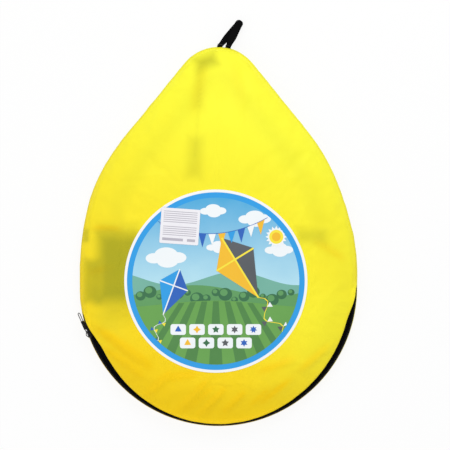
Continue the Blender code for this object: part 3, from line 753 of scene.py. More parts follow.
@dataclass(frozen=True)
class Outline:
    """The bag's egg outline, as tangent arcs."""

    round_radius: float = 0.2085
    side_straight: float = 0.022
    side_radius: float = 0.341
    lean: float = math.radians(39.0)
    tip_radius: float = 0.066
    zip_left: float = math.radians(192.0)
    zip_right: float = math.radians(359.0)
    swells: tuple[tuple[float, float, float], ...] = ((0.0034, 140.0, 15.0), (-0.0022, 33.0, 13.0))

    def tip_y(self) -> float:
        """Height along Y of the tip's rounding centre."""
        end_x = self.round_radius - self.side_radius * (1 - math.cos(self.lean))
        end_y = self.side_straight + self.side_radius * math.sin(self.lean)
        run = (end_x - self.tip_radius * math.cos(self.lean)) / math.sin(self.lean)
        return end_y + run * math.cos(self.lean) - self.tip_radius * math.sin(self.lean)

    def stretches(self) -> list[tuple[float, Callable[[float], tuple[Vector, float]]]]:
        """The right half's stretches, from the bottom up.

        Returns:
            Each stretch's length, and a function from a share of it to a point and its normal's
            angle.
        """
        side = Vector((self.round_radius - self.side_radius, self.side_straight))
        tip = Vector((0.0, self.tip_y()))

        def arc(centre: Vector, radius: float, first: float, last: float) -> Callable:
            """An arc's point and normal, by a share of its length."""
            def at(share: float) -> tuple[Vector, float]:
                """Point and normal's angle at a share of the arc."""
                angle = first + (last - first) * share
                return centre + radius * Vector((math.cos(angle), math.sin(angle))), angle
            return at

        def line(first: Vector, last: Vector, angle: float) -> Callable:
            """A straight stretch's point and normal, by a share of its length."""
            return lambda share: (first.lerp(last, share), angle)

        normal = Vector((math.cos(self.lean), math.sin(self.lean)))
        foot = side + self.side_radius * normal
        head = tip + self.tip_radius * normal
        widest = Vector((self.round_radius, 0.0))
        return [
            (self.round_radius * math.pi / 2,
             arc(Vector((0.0, 0.0)), self.round_radius, -math.pi / 2, 0.0)),
            (self.side_straight, line(widest, widest + Vector((0.0, self.side_straight)), 0.0)),
            (self.side_radius * self.lean, arc(side, self.side_radius, 0.0, self.lean)),
            ((head - foot).length, line(foot, head, self.lean)),
            (self.tip_radius * (math.pi / 2 - self.lean),
             arc(tip, self.tip_radius, self.lean, math.pi / 2)),
        ]

    def walk(self, count: int) -> list[tuple[Vector, Vector]]:
        """Evenly spaced points round the outline, from the bottom anticlockwise.

        Args:
            count: An even number of points.

        Returns:
            Each point and its outward normal.
        """
        stretches = self.stretches()
        total = sum(length for length, _ in stretches)
        right = []
        for index in range(count // 2 + 1):
            left_over = total * index / (count // 2)
            for length, at in stretches:
                if left_over <= length + 1e-9:
                    break
                left_over -= length
            point, angle = at(min(left_over / length, 1.0))
            right.append((point, Vector((math.cos(angle), math.sin(angle)))))
        left = [(Vector((-p.x, p.y)), Vector((-n.x, n.y))) for p, n in reversed(right[1:-1])]
        return right + left

    def sway(self, point: Vector) -> float:
        """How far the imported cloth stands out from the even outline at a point."""
        angle = math.degrees(math.atan2(point.y, point.x)) % 360.0
        return sum(height * math.exp(-((angle - middle) / spread) ** 2)
                   for height, middle, spread in self.swells)

    def cloth_walk(self, count: int) -> list[tuple[Vector, Vector]]:
        """The walk round the outline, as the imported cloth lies.

        Args:
            count: An even number of points.

        Returns:
            Each point and its outward normal.
        """
        return [(point + normal * self.sway(point), normal) for point, normal in self.walk(count)]

    def perimeter(self) -> float:
        """Length of the whole outline."""
        return 2 * sum(length for length, _ in self.stretches())

    def sewn(self, point: Vector, soft: float = 0.008) -> float:
        """How far a point of the outline is in the sewn stretch.

        Args:
            point: A point of the outline.
            soft: Length of the change from zip to seam.

        Returns:
            0 along the zip, 1 along the sewn seam.
        """
        if point.y > self.round_radius * 0.5:
            return 1.0
        angle = math.atan2(point.y, point.x) % math.tau
        if angle < math.pi / 2:
            angle += math.tau
        outside = max(self.zip_left - angle, angle - self.zip_right) * self.round_radius
        return smooth_step(0.0, soft, outside)


@dataclass
class Section:
    """Heights of the bag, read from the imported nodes."""

    band_inset: float = 0.0085
    band_height: float = 0.0105
    crown_inset: float = 0.060
    lap_rise: float = 0.20
    crown: float = 0.0
    front_edge: float = 0.0
    seam: float = 0.0

    @classmethod
    def from_frame(cls) -> "Section":
        """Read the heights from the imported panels."""
        made = cls()
        made.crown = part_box("front_panel")[1].z
        made.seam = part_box("back_panel")[1].z + 0.00015
        made.front_edge = made.seam + made.band_height
        return made

    def front(self, inset: float, sewn: float) -> float:
        """Height of the front cloth at an inset.

        Args:
            inset: Distance in from the outline.
            sewn: 1 where the edge is sewn down, 0 along the zip.

        Returns:
            The height.
        """
        if inset >= self.crown_inset:
            return self.crown
        if inset >= self.band_inset:
            share = (inset - self.band_inset) / (self.crown_inset - self.band_inset)
            return self.front_edge + (self.crown - self.front_edge) * math.sin(share * math.pi / 2)
        drop = (self.band_inset - inset)
        down = self.front_edge - drop * self.band_height / self.band_inset
        over = self.front_edge + drop * self.lap_rise
        return over + (down - over) * sewn

    def band(self, along: float, out: float, angle: float, radius: float) -> Vector:
        """A point beside the zip band's middle line.

        Args:
            along: Distance up the band's slope.
            out: Distance out of it.
            angle: Angle about the round end's centre.
            radius: Radius of the round end.

        Returns:
            The point.
        """
        length = math.hypot(self.band_inset, self.band_height)
        run, rise = self.band_inset / length, self.band_height / length
        inset = self.band_inset / 2 + run * along - rise * out
        height = self.seam + self.band_height / 2 + rise * along + run * out
        reach = radius - inset
        return Vector((reach * math.cos(angle), reach * math.sin(angle), height))


@dataclass(frozen=True)
class Crease:
    """A soft fold of the front cloth."""

    start: Point
    end: Point
    height: float
    width: float

    def lift(self, x: float, y: float) -> float:
        """Height that the fold adds at a point."""
        first = Vector(self.start)
        run = Vector(self.end) - first
        offset = Vector((x, y)) - first
        share = offset.dot(run) / run.length_squared
        aside = abs(offset.x * run.y - offset.y * run.x) / run.length
        fade = smooth_step(-0.15, 0.3, share) * (1.0 - smooth_step(0.7, 1.15, share))
        return self.height * fade * math.exp(-(aside / self.width) ** 2)


@dataclass(frozen=True)
class Shadow:
    """A soft rounded patch of painted shade, where something dark lies close under the cloth."""

    centre: Point
    half: Point
    turn: float
    strength: float
    soft: float

    def share(self, x: float, y: float) -> float:
        """Strength of the patch at a point."""
        dx, dy = x - self.centre[0], y - self.centre[1]
        across = dx * math.cos(self.turn) + dy * math.sin(self.turn)
        along = dy * math.cos(self.turn) - dx * math.sin(self.turn)
        reach = max(abs(across) - self.half[0], abs(along) - self.half[1])
        return self.strength * (1.0 - smooth_step(-self.soft, self.soft, reach))


@dataclass(frozen=True)
class PaintedLightPatch:
    """A soft oval patch of painted light, where the cloth's tone is raised."""

    centre: Point
    half: Point
    strength: float

    def share(self, x: float, y: float) -> float:
        """Strength of the patch at a point."""
        across, along = (x - self.centre[0]) / self.half[0], (y - self.centre[1]) / self.half[1]
        return self.strength * math.exp(-across ** 2 - along ** 2)


@dataclass
class BagPanels:
    """Front and back cloth of the bag."""

    outline: Outline
    section: Section
    around: int = 320
    rings_out: int = 15
    rings_in: int = 16
    label_centre: Point = (-0.0039, 0.0102)
    label_radius: float = 0.1364
    thickness: float = 0.0006
    fold_start: float = -0.1275
    fold_end: float = -0.1520
    zip_margin: float = 0.0019
    bottom_lap: float = 0.0060
    end_inset: float = 0.0030
    sewn_inset: float = 0.0003
    left_taper: float = 0.060
    right_taper: float = 0.053
    most_up: float = 0.006
    most_down: float = 0.0006
    creases: tuple[Crease, ...] = (
        Crease((-0.062, -0.190), (-0.016, -0.142), 0.0036, 0.0034),
        Crease((-0.046, -0.186), (-0.006, -0.150), 0.0022, 0.0030),
        Crease((-0.026, -0.192), (0.012, -0.152), 0.0034, 0.0032),
        Crease((0.012, -0.186), (0.042, -0.156), 0.0028, 0.0032),
        Crease((0.066, -0.174), (0.112, -0.136), 0.0026, 0.0040),
        Crease((0.050, -0.178), (0.080, -0.150), 0.0018, 0.0030),
        Crease((-0.106, -0.162), (-0.070, -0.128), 0.0024, 0.0042),
        Crease((-0.182, -0.060), (-0.100, -0.118), 0.0034, 0.0070),
        Crease((-0.168, -0.092), (-0.112, -0.132), 0.0026, 0.0050),
        Crease((0.170, -0.086), (0.122, -0.126), 0.0024, 0.0060),
        Crease((-0.185, 0.088), (-0.140, 0.086), 0.0028, 0.0045),
        Crease((-0.192, 0.020), (-0.150, 0.030), 0.0024, 0.0050),
        Crease((-0.018, 0.340), (-0.034, 0.255), 0.0018, 0.0090),
        Crease((0.022, 0.345), (0.040, 0.270), 0.0010, 0.0080),
        Crease((0.060, -0.128), (0.118, -0.106), 0.0020, 0.0060),
        Crease((-0.076, -0.136), (-0.030, -0.130), 0.0020, 0.0050),
        Crease((0.192, 0.040), (0.145, 0.070), 0.0020, 0.0060),
    )
    # Painted shade where dark things lie under the cloth.
    shadows: tuple[Shadow, ...] = (
        Shadow((-0.143, 0.030), (0.036, 0.050), 0.0, 0.88, 0.014),
        Shadow((-0.143, -0.030), (0.032, 0.020), 0.15, 0.32, 0.022),
        Shadow((-0.150, 0.086), (0.030, 0.010), 0.0, 0.25, 0.010),
        Shadow((-0.189, 0.010), (0.012, 0.032), 0.0, 0.62, 0.008),
        Shadow((-0.199, 0.078), (0.005, 0.010), 0.0, 0.50, 0.004),
        Shadow((-0.035, 0.194), (0.011, 0.030), -0.06, 0.27, 0.010),
        Shadow((0.138, 0.077), (0.021, 0.010), -0.06, 0.34, 0.009),
        Shadow((-0.018, 0.338), (0.015, 0.009), 0.35, 0.60, 0.010),
        Shadow((-0.029, 0.297), (0.006, 0.028), -0.05, 0.22, 0.010),
        Shadow((-0.031, 0.245), (0.0012, 0.050), -0.085, 0.14, 0.0035),
        Shadow((0.188, -0.085), (0.010, 0.050), -0.42, 0.10, 0.012),
    )
    # Painted pale patches of light on the cloth's tone.
    painted_light_patches: tuple[PaintedLightPatch, ...] = (
        PaintedLightPatch((0.150, -0.075), (0.090, 0.090), 0.30),
        PaintedLightPatch((-0.176, -0.065), (0.045, 0.045), 0.15),
    )
    hoop_shadow: float = 0.10
    # Painted light: the tone rises towards the top and towards the right.
    tone_up: float = 2.1
    tone_right: float = 0.85
    front_flat: Point = (0.434, 0.578)
    back_flat: Point = (0.443, 0.596)

    def edge_inset(self, point: Vector, index: int) -> float:
        """Inset of the front cloth's edge: it laps over the zip at the bottom and at both ends.

        Args:
            point: Point of the outline.
            index: Its place in the walk.

        Returns:
            The inset.
        """
        sewn = self.outline.sewn(point)
        droop = max(0.0, -point.y / self.outline.round_radius) ** 4
        wave = 0.00035 * noise.noise(Vector((index * 0.31, 3.7, 1.1)))
        angle = math.degrees(math.atan2(point.y, point.x)) % 360.0
        wide = 0.0024 * math.exp(-((angle - 207.0) / 16.0) ** 2)
        zipped = self.section.band_inset + self.zip_margin + wide - self.bottom_lap * droop + wave
        from_left = self.outline.round_radius * (math.radians(angle) - self.outline.zip_left)
        from_right = self.outline.round_radius * (self.outline.zip_right - math.radians(angle))
        opened = smooth_step(0.0, self.left_taper, from_left) * smooth_step(0.0, self.right_taper, from_right)
        zipped = self.end_inset + (zipped - self.end_inset) * opened
        return zipped + (self.sewn_inset - zipped) * sewn

    def front_rings(self) -> list[list[Vector]]:
        """Rows of the front sheet, from its edge in to the middle of the label."""
        walk = self.outline.cloth_walk(self.around)
        rings = []
        for step in range(self.rings_out + 1):
            share = (step / self.rings_out) ** 1.25
            ring = []
            for index, (point, normal) in enumerate(walk):
                edge = self.edge_inset(point, index)
                inset = edge + (self.section.crown_inset - edge) * share
                place = point - normal * inset
                height = self.section.front(inset, self.outline.sewn(point))
                ring.append(Vector((place.x, place.y, height)))
            rings.append(ring)
        centre = Vector((*self.label_centre, self.section.crown))
        for step in range(1, self.rings_in + 1):
            share = step / self.rings_in
            ring = []
            for outer in rings[self.rings_out]:
                inner = centre + (outer - centre).normalized() * self.label_radius
                ring.append(outer.lerp(inner, share))
            rings.append(ring)
        for share in (0.9, 0.72, 0.5, 0.26):
            ring = []
            for outer in rings[self.rings_out + self.rings_in]:
                ring.append(centre.lerp(outer, share))
            rings.append(ring)
        return rings

    def pucker(self, x: float, y: float, inset: float) -> float:
        """Small gathers that the sewing draws into the cloth beside its edge."""
        along = math.atan2(y - 0.03, x)
        gather = noise.noise(Vector((along * 17.0, 0.4, 2.0))) + 0.6 * noise.noise(
            Vector((along * 41.0, 1.9, 7.0)))
        return 0.0011 * max(gather, -0.35) * math.exp(-((inset - 0.012) / 0.012) ** 2)

    def shape_front(self, rings: list[list[Vector]]) -> None:
        """Add the folds and gathers to the front sheet's rows.

        Args:
            rings: The rows, changed in place.
        """
        for step, ring in enumerate(rings):
            if step > self.rings_out + self.rings_in - 1:
                continue
            for point in ring:
                inside = math.hypot(point.x - self.label_centre[0], point.y - self.label_centre[1])
                free = smooth_step(self.label_radius, self.label_radius + 0.012, inside)
                if step <= self.rings_out:
                    share = (step / self.rings_out) ** 1.25
                    free *= smooth_step(0.0, 0.12, share)
                    point.z += self.pucker(point.x, point.y, self.section.crown_inset * share)
                fold = sum(crease.lift(point.x, point.y) for crease in self.creases)
                roll = 0.0018 * max(-0.25, noise.noise(Vector((point.x * 11.0, point.y * 11.0, 5.0))))
                point.z += free * (fold + roll)

    def hold(self, index: int, point: Vector) -> float:
        """Share by which a point of the front sheet is held still.

        Args:
            index: The point's number: the outermost rows come first.
            point: The point.

        Returns:
            1 at the sewn edge and under the label, 0 between them.
        """
        inside = math.hypot(point.x - self.label_centre[0], point.y - self.label_centre[1])
        edge = 1.0 - smooth_step(1.0, 3.0, index // self.around)
        under = 1.0 - smooth_step(self.label_radius + 0.001, self.label_radius + 0.006, inside)
        return max(edge, under)

    def drape(self, piece: bpy.types.Object) -> None:
        """Let the sheet settle as cloth, and keep the result within its room.

        Args:
            piece: The front sheet, whose points follow its rows.
        """
        rest = [vert.co.copy() for vert in piece.data.vertices]
        group = piece.vertex_groups.new(name="held")
        weights = [self.hold(index, point) for index, point in enumerate(rest)]
        for index, weight in enumerate(weights):
            group.add([index], weight, "REPLACE")
        cloth = piece.modifiers.new("drape", "CLOTH")
        settings = cloth.settings
        settings.quality = 5
        settings.mass = 0.02
        settings.tension_stiffness = 20.0
        settings.compression_stiffness = 20.0
        settings.shear_stiffness = 8.0
        settings.bending_stiffness = 0.02
        settings.vertex_group_mass = "held"
        settings.shrink_min = -0.012
        settings.use_pressure = True
        settings.uniform_pressure_force = 0.6
        settings.effector_weights.gravity = 0.0
        cloth.collision_settings.use_collision = False
        cloth.point_cache.frame_end = 20
        scene = bpy.context.scene
        for frame in range(1, 19):
            scene.frame_set(frame)
        graph = bpy.context.evaluated_depsgraph_get()
        settled = bpy.data.meshes.new_from_object(piece.evaluated_get(graph))
        moved = [vert.co.copy() for vert in settled.vertices]
        bpy.data.meshes.remove(settled)
        piece.modifiers.clear()
        piece.vertex_groups.clear()
        scene.frame_set(1)
        for vert, first, last, weight in zip(piece.data.vertices, rest, moved, weights):
            shift = (last - first) * (1.0 - weight)
            up = min(max(shift.z, -self.most_down), self.most_up)
            aside = Vector((shift.x, shift.y, 0.0))
            if aside.length > 0.0015:
                aside *= 0.0015 / aside.length
            vert.co = first + aside + Vector((0.0, 0.0, up))
        LOG.info("%s settled", piece.name)

    def paint(self, piece: bpy.types.Object, base: float) -> None:
        """Write the sheet's painted light and shade as attributes: its painted tone and its painted
        see-through shade.

        Args:
            piece: The sheet.
            base: Painted tone that the painted light gradient is centred on.
        """
        mesh = piece.data
        painted_tone = mesh.attributes.new("painted_tone", "FLOAT", "POINT")
        see_through_shade = mesh.attributes.new("show_through", "FLOAT", "POINT")
        for index, vert in enumerate(mesh.vertices):
            x, y = vert.co.x, vert.co.y
            # Painted light: the tone rises towards the top and right, with painted pale patches of light.
            painted_light_lift = sum(glow.share(x, y) for glow in self.painted_light_patches)
            rise = base + self.tone_up * y + self.tone_right * x + painted_light_lift
            # Painted shade: the tone darkens along the creases.
            fold = sum(crease.lift(x + 0.003, y - 0.002) for crease in self.creases) / 0.0034
            painted_tone.data[index].value = max(0.0, min(1.0, max(0.06, rise)) - 0.45 * min(fold, 1.0))
            # Painted shade of the hoops in a band inside the upper edge, and painted shade where dark things
            # lie under the cloth.
            inset = self.section.crown_inset * (index // self.around / self.rings_out) ** 1.25
            band = math.exp(-((inset - 0.046) / 0.015) ** 2) * smooth_step(0.02, 0.08, y)
            cover = 1.0 - self.hoop_shadow * band
            for shadow in self.shadows:
                cover *= 1.0 - shadow.share(x, y)
            see_through_shade.data[index].value = 1.0 - cover

    def build_front(self) -> None:
        """The front sheet, from the zip and seam to under the label."""
        rings = self.front_rings()
        self.shape_front(rings)
        bm = bmesh.new()
        rows = loft(bm, rings)
        bmesh.ops.contextual_create(bm, geom=rows[-1])
        bmesh.ops.recalc_face_normals(bm, faces=bm.faces)
        if sum(face.normal.z for face in bm.faces) < 0:
            bmesh.ops.reverse_faces(bm, faces=bm.faces)
        piece = finish_piece("front_cloth", bm, [BagCloth().material()])
        self.drape(piece)
        self.paint(piece, 0.45)
        thicken(piece, self.thickness)
        self.bend(piece)
        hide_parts("front_panel", "mouth_flap")

    def bend(self, piece: bpy.types.Object) -> None:
        """Bake a piece of the front's place into its mesh; nothing attaches it to the mouth flap."""
        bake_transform(piece)

    def build_back(self) -> None:
        """The back sheet: floor, turned-up wall and its edge under the zip."""
        walk = self.outline.cloth_walk(self.around)
        seam = self.section.seam
        profile = ((0.0003, seam + 0.0003), (0.0, seam - 0.0035), (0.0, 0.0105), (0.0002, 0.0068),
                   (0.0010, 0.0036), (0.0027, 0.0013), (0.0052, 0.0004), (0.0090, 0.0),
                   (0.020, 0.0), (0.040, 0.0))
        rings = []
        for step, (inset, height) in enumerate(profile):
            ring = []
            for index, (point, normal) in enumerate(walk):
                wave = noise.noise(Vector((index * 0.23, height * 160.0, 9.0)))
                wave += 0.5 * noise.noise(Vector((index * 0.61, height * 210.0, 4.0)))
                bulge = 0.0007 * wave * (0.3 + 0.7 * self.outline.sewn(point)) if 0 < step < 6 else 0.0
                place = point - normal * (inset - bulge)
                ring.append(Vector((place.x, place.y, height)))
            rings.append(ring)
        bm = bmesh.new()
        rows = loft(bm, rings)
        bmesh.ops.contextual_create(bm, geom=rows[-1])
        bmesh.ops.recalc_face_normals(bm, faces=bm.faces)
        if bm.faces[-1].normal.z > 0:
            bmesh.ops.reverse_faces(bm, faces=bm.faces)
        piece = finish_piece("back_cloth", bm, [BagCloth().material()])
        self.paint(piece, 0.35)
        thicken(piece, self.thickness)
        stand(piece, Body.BAG, "yellow_cloth", "back_panel")

    def build(self) -> None:
        """Build both sheets."""
        self.build_front()
        self.build_back()


@dataclass
class Stitching:
    """Rows of thread along the seam and beside the zip."""

    outline: Outline
    section: Section
    panels: BagPanels
    length: float = 0.0024
    pitch: float = 0.0034
    radius: float = 0.00022

    def stitch(self) -> bpy.types.Mesh:
        """One stitch along X, sunk a little at its ends."""
        bm = bmesh.new()
        path = []
        for step in range(5):
            share = step / 4
            path.append(Vector(((share - 0.5) * self.length, 0.0,
                                self.radius * (2.0 * math.sin(share * math.pi) - 0.6))))
        sweep(bm, path, lambda share: self.radius, sides=5)
        mesh = bpy.data.meshes.new("stitch")
        bm.to_mesh(mesh)
        bm.free()
        return mesh

    def frames(self, inset: float, lift: float, zip_row: bool) -> list[Matrix]:
        """Places of a row of stitches on the front cloth.

        Args:
            inset: Distance in from the cloth's edge.
            lift: Height above the sheet.
            zip_row: Whether the row runs beside the zip and not along the seam.

        Returns:
            The places.
        """
        count = int(self.outline.perimeter() / self.pitch / 2) * 2
        walk = self.outline.cloth_walk(count)
        row = []
        for index, (point, normal) in enumerate(walk):
            sewn = self.outline.sewn(point)
            if (zip_row and sewn > 0.0) or (not zip_row and sewn < 1.0):
                continue
            reach = self.panels.edge_inset(point, round(index * self.panels.around / count)) + inset
            row.append((self.on_sheet(point, normal, reach), self.on_sheet(point, normal, reach + 0.001)))
        places = []
        for (before, _), (here, further), (after, _) in zip(row, row[1:], row[2:]):
            along = after - before
            if along.length > 3.0 * self.pitch:
                continue
            along.normalize()
            up = along.cross((further - here).normalized()).normalized()
            up = up if up.z > 0 else -up
            places.append(axes_place(along, up.cross(along), up, here + up * lift))
        return places

    def on_sheet(self, point: Vector, normal: Vector, inset: float) -> Vector:
        """A point of the front sheet, at an inset, with its gathers."""
        place = point - normal * inset
        height = self.section.front(inset, self.outline.sewn(point))
        height += self.panels.pucker(place.x, place.y, inset)
        return Vector((place.x, place.y, height))

    def build(self) -> None:
        """Build the seam's row and the row beside the zip."""
        source = self.stitch()
        for name, inset, zip_row in (("seam_stitches", 0.0022, False), ("zip_stitches", 0.0024, True)):
            bm = bmesh.new()
            scatter(bm, source, self.frames(inset, 0.00025, zip_row))
            piece = finish_piece(name, bm, [YELLOW_THREAD.material()])
            if zip_row:
                self.panels.bend(piece)
            else:
                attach(piece, Body.BAG.value)


@dataclass
class Zip:
    """Tapes, coils, slider and pull."""

    outline: Outline
    section: Section
    panels: BagPanels
    coil_pitch: float = 0.0017
    coil_wire: float = 0.00042
    tape: float = 0.0006
    proud: float = 0.0006
    under: float = 0.0034
    slot: float = 0.0007
    slider_angle: float = math.radians(199.75)
    slider_length: float = 0.0110
    slider_width: float = 0.0084
    grip_middle: float = 0.0150
    front_flat: Point = (0.0145, 0.593)
    back_flat: Point = (0.0110, 0.605)

    def join(self, piece: bpy.types.Object, row: Row, kind: str, slot: str) -> None:
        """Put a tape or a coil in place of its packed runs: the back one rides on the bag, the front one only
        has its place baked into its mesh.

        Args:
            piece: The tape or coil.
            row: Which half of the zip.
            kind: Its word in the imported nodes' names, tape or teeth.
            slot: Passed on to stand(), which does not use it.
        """
        if row is Row.FRONT:
            self.panels.bend(piece)
            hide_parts(*("zip_%s_front_%s" % (kind, run) for run in ("left", "mouth", "right")))
        else:
            stand(piece, Body.BAG, slot, "zip_%s_back" % kind)

    def tape_path(self, row: Row, angle: float) -> list[Vector]:
        """Cross-section of a tape's outer face at an angle.

        Args:
            row: Which half of the zip.
            angle: Angle about the round end's centre.

        Returns:
            Points from under the coil to the tape's sewn edge.
        """
        radius = self.outline.round_radius + self.proud
        half = math.hypot(self.section.band_inset, self.section.band_height) / 2
        sign = row.value
        points = [self.section.band(sign * along, -depth, angle, radius)
                  for along, depth in ((self.slot, 0.0016), (0.0030, 0.0016), (half - 0.0012, self.under))]
        if row is Row.FRONT:
            for inset in (self.section.band_inset + 0.0016, self.section.band_inset + 0.0090):
                reach = radius - inset
                height = self.section.front(inset, 0.0) - self.under
                points.append(Vector((reach * math.cos(angle), reach * math.sin(angle), height)))
        else:
            for height in (self.section.seam - 0.0012, self.section.seam - 0.0048):
                reach = radius - 0.0014
                points.append(Vector((reach * math.cos(angle), reach * math.sin(angle), height)))
        return points

    def build_tape(self, row: Row) -> None:
        """One tape, with a faint ripple along it.

        Args:
            row: Which half of the zip.
        """
        steps = 200
        bm = bmesh.new()
        rows = []
        for step in range(steps + 1):
            angle = self.outline.zip_left + (self.outline.zip_right - self.outline.zip_left) * step / steps
            ripple = 0.00018 * noise.noise(Vector((step * 0.37, row.value * 3.0, 0.5)))
            rows.append([point + Vector((0.0, 0.0, ripple)) for point in self.tape_path(row, angle)])
        loft(bm, rows, closed=False)
        bmesh.ops.recalc_face_normals(bm, faces=bm.faces)
        if sum(face.normal.z for face in bm.faces) < 0:
            bmesh.ops.reverse_faces(bm, faces=bm.faces)
        piece = finish_piece("front_tape" if row is Row.FRONT else "back_tape", bm,
                             [BLACK_TAPE.material()])
        thicken(piece, self.tape)
        self.join(piece, row, "tape", "black_tape")

    def tooth(self, row: Row, angle: float) -> list[Vector]:
        """Middle line of one turn of a coil.

        Args:
            row: Which half of the zip.
            angle: Angle at which the turn stands.

        Returns:
            Points from the tape over to the other half and back.
        """
        radius = self.outline.round_radius + self.proud
        turn = self.coil_pitch / radius
        shape = ((2.6, -0.7, 0.0), (2.75, 0.1, 0.05), (2.3, 0.85, 0.12), (0.9, 1.05, 0.22),
                 (-0.35, 0.75, 0.30), (-0.75, 0.0, 0.36), (-0.3, -0.6, 0.42), (1.2, -0.85, 0.55),
                 (2.4, -0.9, 0.8))
        return [self.section.band(row.value * along * 0.001, out * 0.001, angle + share * turn, radius)
                for along, out, share in shape]

    def build_coil(self, row: Row) -> None:
        """One row of interlocking coil.

        Args:
            row: Which half of the zip.
        """
        first = self.outline.zip_left + 0.028
        last = self.outline.zip_right - 0.012
        count = int((last - first) * self.outline.round_radius / self.coil_pitch)
        bm = bmesh.new()
        start = first + (0.5 * self.coil_pitch / self.outline.round_radius if row is Row.BACK else 0.0)
        sweep(bm, self.tooth(row, start), lambda share: self.coil_wire, sides=5)
        bmesh.ops.spin(bm, geom=bm.verts[:] + bm.edges[:] + bm.faces[:], cent=(0, 0, 0), axis=(0, 0, 1),
                       angle=count * self.coil_pitch / self.outline.round_radius, steps=count,
                       use_duplicate=True)
        bmesh.ops.recalc_face_normals(bm, faces=bm.faces)
        piece = finish_piece("front_coil" if row is Row.FRONT else "back_coil", bm,
                             [BLACK_COIL.material()])
        self.join(piece, row, "teeth", "black_nylon")

    def slider_frame(self) -> Matrix:
        """Slider's place: X up the band's slope, Y out of it, Z along the zip."""
        radius = self.outline.round_radius
        middle = self.section.band(0.0, 0.0, self.slider_angle, radius)
        along = (self.section.band(0.01, 0.0, self.slider_angle, radius) - middle).normalized()
        out = (self.section.band(0.0, 0.01, self.slider_angle, radius) - middle).normalized()
        return axes_place(along, out, along.cross(out), middle)

    def build_slider(self) -> None:
        """Slider: rounded wings on a neck, lips, and a bail of round wire."""
        frame = self.slider_frame()
        bm = bmesh.new()
        half = self.slider_width / 2
        boxes = (
            ((self.slider_width, 0.0013, self.slider_length), (0.0, 0.00225, 0.0), 0.00055),
            ((self.slider_width * 0.76, 0.0012, self.slider_length * 0.96), (0.0, -0.0030, 0.0), 0.00050),
            ((0.0008, 0.0046, 0.0046), (0.0, -0.0004, 0.0030), 0.00025),
            ((0.0010, 0.0026, self.slider_length * 0.92), (half - 0.0005, 0.0009, 0.0), 0.00035),
            ((0.0010, 0.0026, self.slider_length * 0.92), (0.0005 - half, 0.0009, 0.0), 0.00035),
            ((0.0030, 0.0006, 0.0052), (0.0, 0.00300, 0.0), 0.00025),
        )
        for size, place, edge in boxes:
            rounded_box(bm, size, frame @ Matrix.Translation(place), edge, 3)
        arch = []
        for step in range(15):
            angle = math.pi * step / 14
            arch.append(frame @ Vector((0.0, 0.0045 + 0.0032 * math.sin(angle), 0.0032 * math.cos(angle))))
        legs = [frame @ Vector((0.0, 0.0024, side * 0.0032)) for side in (1, -1)]
        sweep(bm, [legs[0]] + arch + [legs[1]], lambda share: 0.00062, sides=10)
        piece = finish_piece("slider", bm, [BLACK_LACQUER.material()])
        stand(piece, Body.SLIDER, "black_metal", "zip_slider")

    def build_pull(self) -> None:
        """Pull: a closed wire ring with a ribbed black grip."""
        frame = self.slider_frame()
        lift = math.radians(5.0)
        hinge = frame @ Vector((0.0, 0.00445, 0.0))
        reach = -frame.col[2].xyz * math.cos(lift) + frame.col[1].xyz * math.sin(lift)
        aside = frame.col[0].xyz
        ring = []
        for middle, radius, start in ((0.00350, 0.00185, math.pi / 2), (0.0324, 0.0026, -math.pi / 2)):
            for step in range(11):
                angle = start + math.pi * step / 10
                ring.append(hinge + reach * (middle + radius * math.cos(angle))
                            + aside * radius * math.sin(angle))
        bm = bmesh.new()
        sweep(bm, ring, lambda share: 0.00065, sides=10, cyclic=True)
        piece = finish_piece("pull_ring", bm, [WORN_METAL.material()])
        stand(piece, Body.PULL, "black_metal", "zip_pull")
        place = axes_place(aside, reach, aside.cross(reach), hinge + reach * self.grip_middle)
        bm = bmesh.new()
        rounded_box(bm, (0.0068, 0.0140, 0.0021), place, 0.0008, 3)
        for step in range(4):
            rib = place @ Matrix.Translation((0.0, (step - 1.5) * 0.0026, 0.0))
            rounded_box(bm, (0.0058, 0.0010, 0.0025), rib, 0.0004, 2)
        grip = finish_piece("pull_grip", bm, [BLACK_RUBBER_GRIP.material()])
        stand(grip, Body.PULL, "black_metal")

    def build(self) -> None:
        """Build the whole zip."""
        for row in Row:
            self.build_tape(row)
            self.build_coil(row)
        self.build_slider()
        self.build_pull()
        dress(("zip_stop_left", "zip_stop_right"), BLACK_LACQUER.material())


